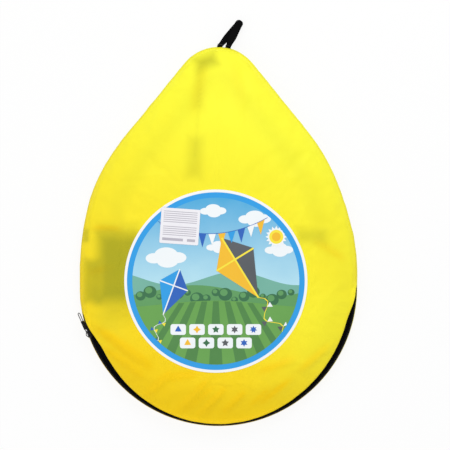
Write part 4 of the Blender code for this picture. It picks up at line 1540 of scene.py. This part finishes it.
@dataclass
class CarryLoop:
    """Webbing loop at the tip, folded over and sewn in by both ends."""

    outline: Outline
    section: Section
    width: float = 0.0116
    thickness: float = 0.0012
    length: float = 0.0468
    bearing: float = math.radians(7.0)
    lean: float = math.radians(33.0)
    feet: float = 0.0125
    fold: float = 0.0050
    droop: float = 0.0080
    standoff: float = 0.0009

    def frame(self) -> Matrix:
        """Loop's hinge on the seam: X along the seam, Y out of it."""
        out = Vector((math.sin(self.bearing), math.cos(self.bearing)))
        point = Vector((0.0, self.outline.tip_y())) + out * (self.outline.tip_radius + self.standoff)
        place = Matrix.Rotation(-self.bearing, 4, "Z")
        place.translation = (point.x, point.y, self.section.seam)
        return place

    def path(self) -> list[Vector]:
        """Middle line of the webbing: out below, round, and back above."""
        lean = self.lean - self.bearing
        run = Vector((math.sin(lean), math.cos(lean)))
        straight = self.length - self.fold
        lower, upper = [], []
        for step in range(25):
            share = step / 24
            lift = self.fold * math.sin(min(share * 2.0, 1.0) * math.pi / 2)
            point = run * straight * share
            aside = self.feet / 2 * (1 - share)
            sink = self.droop * share
            lower.append(Vector((point.x - aside, point.y, -lift - sink)))
            upper.append(Vector((point.x + aside, point.y, lift - sink)))
        bend = []
        for step in range(1, 20):
            angle = -math.pi / 2 + math.pi * step / 20
            point = run * (straight + self.fold * math.cos(angle))
            bend.append(Vector((point.x, point.y, self.fold * math.sin(angle) - self.droop)))
        tuck = Vector((0.0, -0.0030, 0.0))
        return [lower[0] + tuck] + lower + bend + upper[::-1] + [upper[0] + tuck]

    def across(self, point: Vector) -> Vector:
        """Width of the strip at a point: gathered at the feet, square to the loop at the fold."""
        share = max(0.0, min(1.0, point.y / (self.length - self.fold)))
        turn = (self.lean - self.bearing) * smooth_step(0.0, 0.6, share)
        full = 0.70 + 0.30 * smooth_step(0.0, 0.40, share) - 0.12 * smooth_step(0.97, 1.10, point.y / (
            (self.length - self.fold) * math.cos(self.lean - self.bearing)))
        return Vector((math.cos(turn), -math.sin(turn), 0.0)) * self.width * full

    def round_end(self, point: Vector, share: float) -> Vector:
        """How far a point of the strip is drawn back, which rounds the fold's corners.

        Args:
            point: Point of the middle line.
            share: Share of the width, from its middle.

        Returns:
            The shift.
        """
        lean = self.lean - self.bearing
        along = point.y / math.cos(lean) / self.length
        back = -0.0032 * abs(2.0 * share) ** 3 * smooth_step(0.72, 1.0, along)
        return Vector((math.sin(lean), math.cos(lean), 0.0)) * back

    def build(self) -> None:
        """Build the strip, thickened and with rounded edges, and its tacking stitches."""
        frame = self.frame()
        half = (0.0, 0.15, 0.28, 0.36, 0.42, 0.46, 0.485, 0.5)
        across = [-share for share in half[:0:-1]] + list(half)
        bm = bmesh.new()
        rows = []
        for point in self.path():
            rows.append([frame @ (point + self.across(point) * share + self.round_end(point, share))
                         for share in across])
        loft(bm, rows, closed=False)
        bmesh.ops.recalc_face_normals(bm, faces=bm.faces)
        piece = finish_piece("webbing_loop", bm, [BLACK_WEBBING.material()])
        thicken(piece, self.thickness, 0.0)
        rounding = piece.modifiers.new("edges", "BEVEL")
        rounding.width = 0.0003
        rounding.segments = 2
        rounding.limit_method = "ANGLE"
        stand(piece, Body.LOOP, "black_webbing", "carry_loop")
        self.build_tacks(frame)

    def build_tacks(self, frame: Matrix) -> None:
        """A short bar of stitches across each foot of the loop.

        Args:
            frame: The loop's hinge frame.
        """
        bm = bmesh.new()
        for side in (-1, 1):
            for step in range(9):
                x = side * self.feet / 2 + (step / 8 - 0.5) * self.width * 0.6
                path = [frame @ Vector((x + dx, 0.0016 + dy, 0.00095)) for dx, dy in
                        ((-0.0004, 0.0), (0.0, 0.0009), (0.0004, 0.0018))]
                sweep(bm, path, lambda share: 0.00022, sides=5)
        piece = finish_piece("loop_tacks", bm, [BLACK_THREAD.material()])
        stand(piece, Body.LOOP, "black_webbing")


@dataclass
class RoundLabel:
    """Printed film disc on the front, with a plain outdoor picture."""

    centre: Point = (-0.0039, 0.0102)
    radius: float = 0.1364
    ring_outer: float = 0.1323
    ring_inner: float = 0.1243
    layer: float = 0.00004
    top: float = 0.0
    printed: dict[int, int] = field(default_factory=dict)
    materials: list[bpy.types.Material] = field(default_factory=list)

    def slot_of(self, material: bpy.types.Material) -> int:
        """Slot of a printed colour, added when it is new."""
        if material not in self.materials:
            self.materials.append(material)
        return self.materials.index(material)

    def shape(self, bm: bmesh.types.BMesh, points: Sequence[Point], level: int,
              material: bpy.types.Material, trim: bool = True) -> None:
        """Print one flat shape.

        Args:
            bm: The print's mesh.
            points: The shape's outline, from the label's centre.
            level: Order in which it is printed.
            material: Its colour.
            trim: Whether it stays inside the coloured ring.
        """
        inside = []
        for x, y in points:
            reach = math.hypot(x, y)
            share = min(1.0, self.ring_inner / reach) if trim and reach else 1.0
            inside.append((x * share, y * share))
        self.printed[level] = self.printed.get(level, 0) + 1
        height = self.top + self.layer * level + 0.0000013 * self.printed[level]
        verts = [bm.verts.new((self.centre[0] + x, self.centre[1] + y, height)) for x, y in inside]
        made = bmesh.ops.contextual_create(
            bm, geom=[bm.edges.new((verts[i - 1], verts[i])) for i in range(len(verts))])
        for face in made["faces"]:
            face.material_index = self.slot_of(material)

    def circle(self, x: float, y: float, radius: float, squash: float = 1.0,
               count: int = 40) -> list[Point]:
        """Points of a disc or an oval."""
        return [(x + radius * math.cos(math.tau * i / count),
                 y + radius * squash * math.sin(math.tau * i / count)) for i in range(count)]

    def hill(self, height: Callable[[float], float], count: int = 72) -> list[Point]:
        """Ground below a skyline, down to the picture's edge.

        Args:
            height: Skyline's height by X.
            count: Points of each side.

        Returns:
            The outline.
        """
        edge = self.ring_inner
        left, right = -edge, edge
        for _ in range(40):
            left = -math.sqrt(max(edge ** 2 - height(left) ** 2, 0.0))
            right = math.sqrt(max(edge ** 2 - height(right) ** 2, 0.0))
        sky = [(left + (right - left) * i / count, height(left + (right - left) * i / count))
               for i in range(count + 1)]
        first = math.atan2(height(right), right)
        last = math.atan2(height(left), left) - math.tau
        if last > first:
            last -= math.tau
        if first - last > math.tau:
            last += math.tau
        rim = [(edge * math.cos(first + (last - first) * i / count),
                edge * math.sin(first + (last - first) * i / count)) for i in range(1, count)]
        return sky + rim

    def band_between(self, upper: Callable[[float], float], lower: Callable[[float], float],
                     first: float, last: float, count: int = 40) -> list[Point]:
        """A strip between two lines."""
        xs = [first + (last - first) * i / count for i in range(count + 1)]
        return [(x, upper(x)) for x in xs] + [(x, lower(x)) for x in reversed(xs)]

    def build_film(self) -> None:
        """The film itself, with a soft edge."""
        low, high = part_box("round_label")
        bm = bmesh.new()
        bmesh.ops.create_circle(bm, cap_ends=True, segments=160, radius=self.radius)
        bmesh.ops.translate(bm, vec=(*self.centre, high.z), verts=bm.verts)
        rim = bmesh.ops.extrude_edge_only(bm, edges=bm.edges[:])
        skirt = [item for item in rim["geom"] if isinstance(item, bmesh.types.BMVert)]
        bmesh.ops.translate(bm, vec=(0.0, 0.0, low.z - high.z - 0.0002), verts=skirt)
        bmesh.ops.recalc_face_normals(bm, faces=bm.faces)
        white = ink("white_film", (0.90, 0.91, 0.92), (0.96, 0.96, 0.97)).material()
        piece = finish_piece("label_film", bm, [white], smooth=False)
        stand(piece, Body.BAG, "printed_film", "round_label")
        self.top = high.z

    def build_print(self) -> None:
        """The printed picture: a sky with clouds, hills, trees, a striped lawn and kites."""
        bm = bmesh.new()
        azure = ink("ring_azure", (0.010, 0.320, 0.770), (0.014, 0.360, 0.830)).material()
        blue = ink("deep_blue", (0.010, 0.100, 0.480), (0.014, 0.130, 0.540)).material()
        white = ink("cloud_white", (0.86, 0.92, 0.95), (0.93, 0.96, 0.98)).material()
        far = ink("far_hill", (0.150, 0.420, 0.330), (0.190, 0.480, 0.380)).material()
        mid = ink("mid_hill", (0.090, 0.300, 0.090), (0.120, 0.360, 0.120)).material()
        lawn = ink("lawn_light", (0.110, 0.330, 0.060), (0.150, 0.400, 0.080)).material()
        stripe = ink("lawn_dark", (0.055, 0.210, 0.045), (0.080, 0.260, 0.060)).material()
        leaf = ink("tree_dark", (0.020, 0.130, 0.050), (0.035, 0.180, 0.065)).material()
        amber = ink("kite_amber", (0.90, 0.480, 0.010), (0.95, 0.560, 0.020)).material()
        yellow = ink("kite_yellow", (0.95, 0.780, 0.030), (0.98, 0.830, 0.050)).material()
        grey = ink("slate_grey", (0.070, 0.080, 0.090), (0.110, 0.120, 0.135)).material()
        self.shape(bm, self.circle(0.0, 0.0, self.ring_outer, count=160), 1, azure, trim=False)
        self.shape(bm, self.circle(0.0, 0.0, self.ring_inner, count=160), 2, SkyInk().material())
        for x, y, size in ((-0.074, 0.034, 0.020), (0.058, 0.092, 0.016), (-0.004, 0.104, 0.013),
                           (0.094, 0.046, 0.014), (0.004, 0.050, 0.012)):
            for dx, dy, part in ((-0.9, 0.0, 0.62), (0.0, 0.28, 0.86), (0.85, 0.05, 0.66), (0.1, -0.2, 0.8)):
                self.shape(bm, self.circle(x + dx * size, y + dy * size, part * size, 0.62), 3, white)
        self.print_sun(bm, 0.090, 0.066, 0.0105, (white, yellow, amber))
        self.shape(bm, self.hill(lambda x: 0.004 + 0.010 * math.sin(x * 34.0 + 0.6)), 4, far)
        self.shape(bm, self.hill(lambda x: -0.014 + 0.008 * math.sin(x * 27.0 + 2.4)), 5, mid)
        self.print_trees(bm, leaf, mid)
        lawn_top: Callable[[float], float] = lambda x: -0.034 + 0.005 * math.cos(x * 21.0)
        self.shape(bm, self.hill(lawn_top), 7, lawn)
        for index in range(-3, 4):
            foot = index * 0.040
            head = index * 0.017
            self.shape(bm, [(head - 0.0042, lawn_top(head) - 0.001), (head + 0.0042, lawn_top(head) - 0.001),
                            (foot + 0.0100, -0.124), (foot - 0.0100, -0.124)], 8, stripe)
        self.print_kite(bm, 0.036, 0.020, 0.052, 0.55, (grey, amber, yellow, white))
        self.print_kite(bm, -0.066, -0.016, 0.036, -0.35, (blue, azure, white, yellow))
        self.print_bunting(bm, (blue, white, amber, azure))
        self.print_plaques(bm, (white, blue, amber, leaf, grey))
        face_up(bm)
        piece = finish_piece("label_print", bm, self.materials, smooth=False)
        stand(piece, Body.BAG, "printed_film")

    def print_sun(self, bm: bmesh.types.BMesh, x: float, y: float, size: float,
                  colours: Sequence[bpy.types.Material]) -> None:
        """A round sun with short rays.

        Args:
            bm: The print's mesh.
            x: Place along X.
            y: Place along Y.
            size: Its radius.
            colours: Colours of the rays, the disc and its middle.
        """
        star = []
        for step in range(32):
            reach = size * (1.55 if step % 2 == 0 else 1.15)
            angle = math.tau * step / 32
            star.append((x + reach * math.cos(angle), y + reach * math.sin(angle)))
        self.shape(bm, star, 9, colours[0])
        self.shape(bm, self.circle(x, y, size), 10, colours[1])
        self.shape(bm, self.circle(x, y, size * 0.62), 11, colours[2])

    def print_trees(self, bm: bmesh.types.BMesh, dark: bpy.types.Material,
                    light: bpy.types.Material) -> None:
        """Round bushes along the hill.

        Args:
            bm: The print's mesh.
            dark: Colour of the crowns.
            light: Colour of their lit sides.
        """
        for index in range(17):
            x = -0.112 + index * 0.014
            size = 0.0075 + 0.0030 * math.sin(index * 2.3)
            y = -0.022 + 0.006 * math.sin(index * 1.7)
            self.shape(bm, self.circle(x, y, size, 0.92, 24), 6, dark)
            self.shape(bm, self.circle(x - size * 0.2, y + size * 0.25, size * 0.55, 0.9, 18), 7, light)

    def print_kite(self, bm: bmesh.types.BMesh, x: float, y: float, size: float, turn: float,
                   colours: Sequence[bpy.types.Material]) -> None:
        """A diamond kite with a tail.

        Args:
            bm: The print's mesh.
            x: Place along X.
            y: Place along Y.
            size: Half its length.
            turn: Its lean.
            colours: Two panels, the spine, and the tail's bows.
        """
        def at(across: float, along: float) -> Point:
            """A point of the kite, in half lengths from its middle."""
            return (x + size * (across * math.cos(turn) - along * math.sin(turn)),
                    y + size * (across * math.sin(turn) + along * math.cos(turn)))

        first, second, spine, bow = colours
        self.shape(bm, [at(0, 1), at(0.62, 0.28), at(0, -1)], 10, first)
        self.shape(bm, [at(0, 1), at(0, -1), at(-0.62, 0.28)], 10, second)
        self.shape(bm, [at(-0.025, 1), at(0.025, 1), at(0.025, -1), at(-0.025, -1)], 11, spine)
        self.shape(bm, [at(-0.62, 0.30), at(0.62, 0.30), at(0.62, 0.25), at(-0.62, 0.25)], 11, spine)
        line = [(0.18 * math.sin(step * 0.9), -1.0 - step * 0.12) for step in range(13)]
        for (ax, ay), (bx, by) in zip(line, line[1:]):
            self.shape(bm, [at(ax - 0.014, ay), at(ax + 0.014, ay), at(bx + 0.014, by), at(bx - 0.014, by)],
                       11, spine)
        for step in (3, 6, 9, 12):
            ax, ay = line[step]
            self.shape(bm, [at(ax, ay), at(ax + 0.14, ay + 0.08), at(ax + 0.14, ay - 0.08)], 12, bow)
            self.shape(bm, [at(ax, ay), at(ax - 0.14, ay - 0.08), at(ax - 0.14, ay + 0.08)], 12, first)

    def print_bunting(self, bm: bmesh.types.BMesh, colours: Sequence[bpy.types.Material]) -> None:
        """A string of pennants across the sky.

        Args:
            bm: The print's mesh.
            colours: Colours of the pennants, in turn.
        """
        def string(x: float) -> float:
            """Height of the sagging string by X."""
            return 0.070 + 3.2 * (x + 0.01) ** 2

        self.shape(bm, self.band_between(lambda x: string(x) + 0.0009, string, -0.086, 0.077), 9, colours[0])
        for index in range(11):
            x = -0.078 + index * 0.0145
            drop = 0.017 if index % 2 else 0.020
            self.shape(bm, [(x - 0.0055, string(x - 0.0055)), (x + 0.0055, string(x + 0.0055)),
                            (x, string(x) - drop)], 10, colours[index % len(colours)])

    def print_plaques(self, bm: bmesh.types.BMesh, colours: Sequence[bpy.types.Material]) -> None:
        """Two rows of plain rounded plaques low on the lawn, each with a simple shape.

        Args:
            bm: The print's mesh.
            colours: The plaque's colour, then the shapes' colours in turn.
        """
        places = [(-0.056 + index * 0.028, -0.072) for index in range(5)]
        places += [(-0.042 + index * 0.028, -0.092) for index in range(4)]
        for index, (x, y) in enumerate(places):
            plaque = []
            for cx, cy, start in ((0.008, 0.0045, 0.0), (-0.008, 0.0045, 90.0), (-0.008, -0.0045, 180.0),
                                  (0.008, -0.0045, 270.0)):
                for step in range(6):
                    angle = math.radians(start + 18.0 * step)
                    plaque.append((x + cx + 0.0035 * math.cos(angle), y + cy + 0.0035 * math.sin(angle)))
            self.shape(bm, plaque, 9, colours[0])
            points = 3 + index % 5
            star = []
            for step in range(points * 2):
                reach = 0.0058 if step % 2 == 0 else 0.0031
                angle = math.pi / 2 + math.pi * step / points
                star.append((x + reach * math.cos(angle), y + reach * math.sin(angle)))
            self.shape(bm, star, 10, colours[1 + index % 4])

    def build(self) -> None:
        """Build the film and its print."""
        self.build_film()
        self.build_print()


@dataclass
class Sticker:
    """Small white paper sticker with ruled lines and one lifted corner."""

    centre: Point = (-0.0574, 0.0917)
    side: float = 0.058
    height: float = 0.053
    turn: float = math.radians(-4.0)
    corner: float = 0.002
    curl: float = 0.0012
    thickness: float = 0.00025

    def place(self) -> Matrix:
        """Sticker's place on the label."""
        low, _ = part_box("info_sticker")
        return Matrix.Translation((*self.centre, low.z)) @ Matrix.Rotation(self.turn, 4, "Z")

    def lift(self, x: float, y: float) -> float:
        """Height by which the paper stands off at a point."""
        reach = (y - x) / self.side
        return self.curl * smooth_step(0.62, 1.0, reach) + 0.00012 * noise.noise(
            Vector((x * 60.0, y * 60.0, 2.0)))

    def build(self) -> None:
        """Build the paper and its faint ruled lines."""
        place = self.place()
        bm = bmesh.new()
        bmesh.ops.create_grid(bm, x_segments=24, y_segments=24, size=self.side / 2)
        bmesh.ops.scale(bm, vec=(1.0, self.height / self.side, 1.0), verts=bm.verts)
        corners = [vert for vert in bm.verts if len(vert.link_edges) == 2]
        bmesh.ops.bevel(bm, geom=corners, offset=self.corner, offset_type="OFFSET", segments=4,
                        profile=0.5, affect="VERTICES", material=-1)
        for vert in bm.verts:
            vert.co.z = 0.0003 + self.lift(vert.co.x, vert.co.y)
        bmesh.ops.transform(bm, matrix=place, verts=bm.verts)
        piece = finish_piece("sticker_paper", bm, [STICKER_PAPER.material()], smooth=False)
        thicken(piece, self.thickness)
        stand(piece, Body.BAG, "white_paper", "info_sticker")
        self.build_rules(place)

    def build_rules(self, place: Matrix) -> None:
        """Faint ruled lines, as on a blank form.

        Args:
            place: The sticker's place.
        """
        bm = bmesh.new()
        rules = [(-0.025, 0.025, 0.0215 - step * 0.0031, 0.0011) for step in range(6)]
        rules += [(-0.025, 0.025, -0.0010 - step * 0.0031, 0.0011) for step in range(5)]
        rules += [(-0.025, 0.006, -0.0200, 0.0040), (0.012, 0.024, -0.0200, 0.0040)]
        for first, last, y, thick in rules:
            steps = 16
            rows = []
            for step in range(steps + 1):
                x = first + (last - first) * step / steps
                rows.append([Vector((x, y + side * thick / 2, 0.00034 + self.lift(x, y)))
                             for side in (-1, 1)])
            loft(bm, rows, closed=False)
        face_up(bm)
        bmesh.ops.transform(bm, matrix=place, verts=bm.verts)
        piece = finish_piece("sticker_rules", bm, [STICKER_RULE.material()], smooth=False)
        stand(piece, Body.BAG, "white_paper")


@dataclass
class FoldedGoal:
    """One folded goal: sleeves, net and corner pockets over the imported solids."""

    number: int
    outline: Outline
    hoop_inset: float = 0.0140
    sleeve_radius: float = 0.0020

    def hoop(self, height: float, count: int = 240) -> list[Vector]:
        """Path of a sleeve, open at the tip.

        Args:
            height: Height of its middle.
            count: Points of the whole outline.

        Returns:
            The path.
        """
        ahead = []
        walk = self.outline.walk(count)
        reach = self.outline.tip_radius - self.hoop_inset
        end_y = self.outline.tip_y() + reach * math.sin(self.outline.lean)
        start = count // 2
        for step in range(count):
            point, normal = walk[(start + step) % count]
            place = point - normal * self.hoop_inset
            if place.y < end_y - 0.0005:
                ahead.append(Vector((place.x, place.y, height)))
        ends = []
        for side in (-1, 1):
            x = side * reach * math.cos(self.outline.lean)
            ends.append(Vector((x, end_y, height)))
        return [ends[0]] + ahead + [ends[1]]

    def build_sleeve(self, leaf: str) -> None:
        """A gathered cloth sleeve over one wire.

        Args:
            leaf: Which leaf of the goal, arch or base.
        """
        node = "goal_%d_%s_sleeve" % (self.number, leaf)
        low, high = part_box(node)
        path = self.hoop((low.z + high.z) / 2)
        bm = bmesh.new()

        def girth(share: float) -> float:
            """Radius of the gathered sleeve at a share of its path."""
            gather = noise.noise(Vector((share * 240.0, self.number * 3.0, len(leaf))))
            return self.sleeve_radius * (0.93 + 0.07 * gather)

        sweep(bm, path, girth, sides=10)
        piece = finish_piece(node + "_cloth", bm, [SLEEVE_CLOTH.material()])
        stand(piece, Body.BAG, "orange_sleeve", node)

    def build_net(self) -> None:
        """The folded net between the two leaves."""
        node = "goal_%d_net" % self.number
        bm = merged_copy(node)
        top = [face for face in bm.faces if face.normal.z > 0.9]
        drop = [face for face in bm.faces if face not in top]
        bmesh.ops.delete(bm, geom=drop, context="FACES")
        piece = finish_piece(node + "_mesh", bm, [NetFinish().material()])
        stand(piece, Body.BAG, "dark_net", node)

    def build_pocket(self, side: str) -> None:
        """A rounded cloth pocket over a corner of the goal.

        Args:
            side: Which corner, left or right.
        """
        node = "goal_%d_corner_%s" % (self.number, side)
        bm = merged_copy(node)
        sharp = [edge for edge in bm.edges
                 if len(edge.link_faces) == 2 and edge.calc_face_angle(0.0) > math.radians(60)]
        bmesh.ops.bevel(bm, geom=sharp, offset=0.00022, offset_type="OFFSET", segments=2, profile=0.5,
                        affect="EDGES", material=-1)
        piece = finish_piece(node + "_cloth", bm, [POCKET_CLOTH.material()])
        stand(piece, Body.BAG, "black_pocket", node)

    def build(self) -> None:
        """Build the goal's cloth, and dress its wires and caps."""
        for leaf in ("base", "arch"):
            self.build_sleeve(leaf)
            dress(("goal_%d_%s_wire" % (self.number, leaf),), SPRING_WIRE.material())
            dress(("goal_%d_%s_tip_%s" % (self.number, leaf, side) for side in ("left", "right")),
                  WIRE_CAP.material())
        self.build_net()
        for side in ("left", "right"):
            self.build_pocket(side)


@dataclass
class LooseGear:
    """The flat ball and the hand pump."""

    def build_ball(self) -> None:
        """The ball's collapsed skin, with soft rolls towards its rim."""
        bm = merged_copy("deflated_ball")
        low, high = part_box("deflated_ball")
        middle = (low + high) / 2
        bmesh.ops.triangulate(bm, faces=[face for face in bm.faces if len(face.verts) > 4])
        bmesh.ops.subdivide_edges(bm, edges=bm.edges, cuts=2, use_grid_fill=True, smooth=0.3)
        for vert in bm.verts:
            offset = vert.co - middle
            swell = noise.noise(Vector((vert.co.x * 45.0, vert.co.y * 45.0, vert.co.z * 30.0)))
            reach = math.hypot(offset.x, offset.y) / 0.0715
            vert.co.z += 0.0012 * swell * smooth_step(0.2, 0.9, reach) * (1.0 if offset.z > 0 else 0.3)
        bmesh.ops.recalc_face_normals(bm, faces=bm.faces)
        piece = finish_piece("ball_skin", bm, [BALL_SKIN.material()])
        soft = piece.modifiers.new("soft", "SUBSURF")
        soft.levels = 1
        soft.render_levels = 1
        stand(piece, Body.BAG, "ball_rubber", "deflated_ball")

    def build(self) -> None:
        """Build the ball and dress the pump."""
        self.build_ball()
        dress(("ball_valve", "pump_piston"), BLACK_RUBBER.material())
        dress(("pump_barrel", "pump_handle"), PUMP_BLUE.material())
        dress(("pump_collar", "pump_nozzle_cap"), PUMP_WHITE.material())
        dress(("pump_rod", "pump_needle"), BRIGHT_STEEL.material())


@dataclass
class Studio:
    """Floor, light and camera."""

    aim: Point = (0.00975, 0.09375)
    frame_side: float = 0.675
    lens: float = 180.0
    sensor: float = 36.0
    sharp_height: float = 0.020
    world_level: float = 0.68

    def build_floor(self) -> None:
        """A plain white floor that keeps the object's shadow."""
        shade = Shade("white_floor")
        shade.surface.inputs["Base Color"].default_value = (0.94, 0.94, 0.94, 1.0)
        shade.surface.inputs["Roughness"].default_value = 0.9
        glow = shade.add("Emission", {"Color": (1.0, 1.0, 1.0, 1.0), "Strength": 1.0})
        rays = shade.add("LightPath")
        seen = shade.math("MAXIMUM", rays.outputs["Is Camera Ray"],
                          shade.math("MAXIMUM", rays.outputs["Is Glossy Ray"],
                                     rays.outputs["Is Transmission Ray"]))
        mixed = shade.add("MixShader", {0: shade.math("MULTIPLY", seen, 0.88)})
        shade.link(shade.surface.outputs["BSDF"], mixed.inputs[1])
        shade.link(glow.outputs[0], mixed.inputs[2])
        shade.link(mixed.outputs[0], shade.output.inputs["Surface"])
        bm = bmesh.new()
        bmesh.ops.create_grid(bm, x_segments=2, y_segments=2, size=3.0)
        bmesh.ops.translate(bm, vec=(0.0, 0.0, -0.0004), verts=bm.verts)
        floor = finish_piece("floor", bm, [shade.material], smooth=False)
        floor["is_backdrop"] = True

    def build_world(self) -> None:
        """Even light from all round, seen as white."""
        world = bpy.data.worlds.new("studio_light")
        bpy.context.scene.world = world
        world.use_nodes = True
        tree = world.node_tree
        tree.nodes.clear()
        output = tree.nodes.new("ShaderNodeOutputWorld")
        light = tree.nodes.new("ShaderNodeBackground")
        light.inputs["Strength"].default_value = self.world_level
        seen = tree.nodes.new("ShaderNodeBackground")
        seen.inputs["Strength"].default_value = 1.0
        for node in (light, seen):
            node.inputs["Color"].default_value = (1.0, 1.0, 1.0, 1.0)
        rays = tree.nodes.new("ShaderNodeLightPath")
        either = tree.nodes.new("ShaderNodeMath")
        either.operation = "MAXIMUM"
        tree.links.new(rays.outputs["Is Camera Ray"], either.inputs[0])
        tree.links.new(rays.outputs["Is Transmission Ray"], either.inputs[1])
        mixed = tree.nodes.new("ShaderNodeMixShader")
        tree.links.new(either.outputs[0], mixed.inputs[0])
        tree.links.new(light.outputs[0], mixed.inputs[1])
        tree.links.new(seen.outputs[0], mixed.inputs[2])
        tree.links.new(mixed.outputs[0], output.inputs["Surface"])

    def build_lamp(self, name: str, place: Sequence[float], power: float, size: float) -> None:
        """A soft square lamp aimed at the bag.

        Args:
            name: Name of the lamp.
            place: Its place.
            power: Its power in watts.
            size: Its side.
        """
        data = bpy.data.lights.new(name, "AREA")
        data.energy = power
        data.size = size
        lamp = bpy.data.objects.new(name, data)
        bpy.context.scene.collection.objects.link(lamp)
        lamp.location = place
        aim = Vector((*self.aim, 0.0)) - Vector(place)
        lamp.rotation_euler = aim.to_track_quat("-Z", "Y").to_euler()

    def build_camera(self) -> None:
        """A camera straight above, framed as the photograph."""
        data = bpy.data.cameras.new("camera")
        data.lens = self.lens
        data.sensor_width = self.sensor
        camera = bpy.data.objects.new("camera", data)
        bpy.context.scene.collection.objects.link(camera)
        distance = self.frame_side * self.lens / self.sensor
        camera.location = (*self.aim, self.sharp_height + distance)
        bpy.context.scene.camera = camera

    def build(self) -> None:
        """Build the studio."""
        self.build_floor()
        self.build_world()
        self.build_lamp("key_lamp", (0.30, 1.10, 1.30), 8.5, 0.9)
        self.build_lamp("fill_lamp", (-0.90, -0.60, 1.40), 5.0, 1.1)
        self.build_camera()
        bpy.context.scene.view_settings.view_transform = "Standard"


def corners(bounds: object) -> list[list[float]]:
    """A box's two corners as plain lists.

    Args:
        bounds: The lowest and the highest corner.

    Returns:
        The corners.
    """
    return [[float(value) for value in corner] for corner in bounds]


def main() -> None:
    """Load the frame and build every sub-assembly over it."""
    logging.basicConfig(level=logging.INFO, format="%(name)s: %(message)s")
    for item in list(bpy.data.objects):
        bpy.data.objects.remove(item, do_unlink=True)
    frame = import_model()
    packed = corners(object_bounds())
    Studio().build()
    outline = Outline()
    section = Section.from_frame()
    panels = BagPanels(outline, section)
    panels.build()
    Stitching(outline, section, panels).build()
    Zip(outline, section, panels).build()
    CarryLoop(outline, section).build()
    RoundLabel().build()
    Sticker().build()
    for number in (1, 2):
        FoldedGoal(number, outline).build()
    LooseGear().build()
    bpy.context.view_layer.update()
    {"cad": packed, "visual": corners(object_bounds())}
    LOG.info("built")


if __name__ == "__main__":
    main()
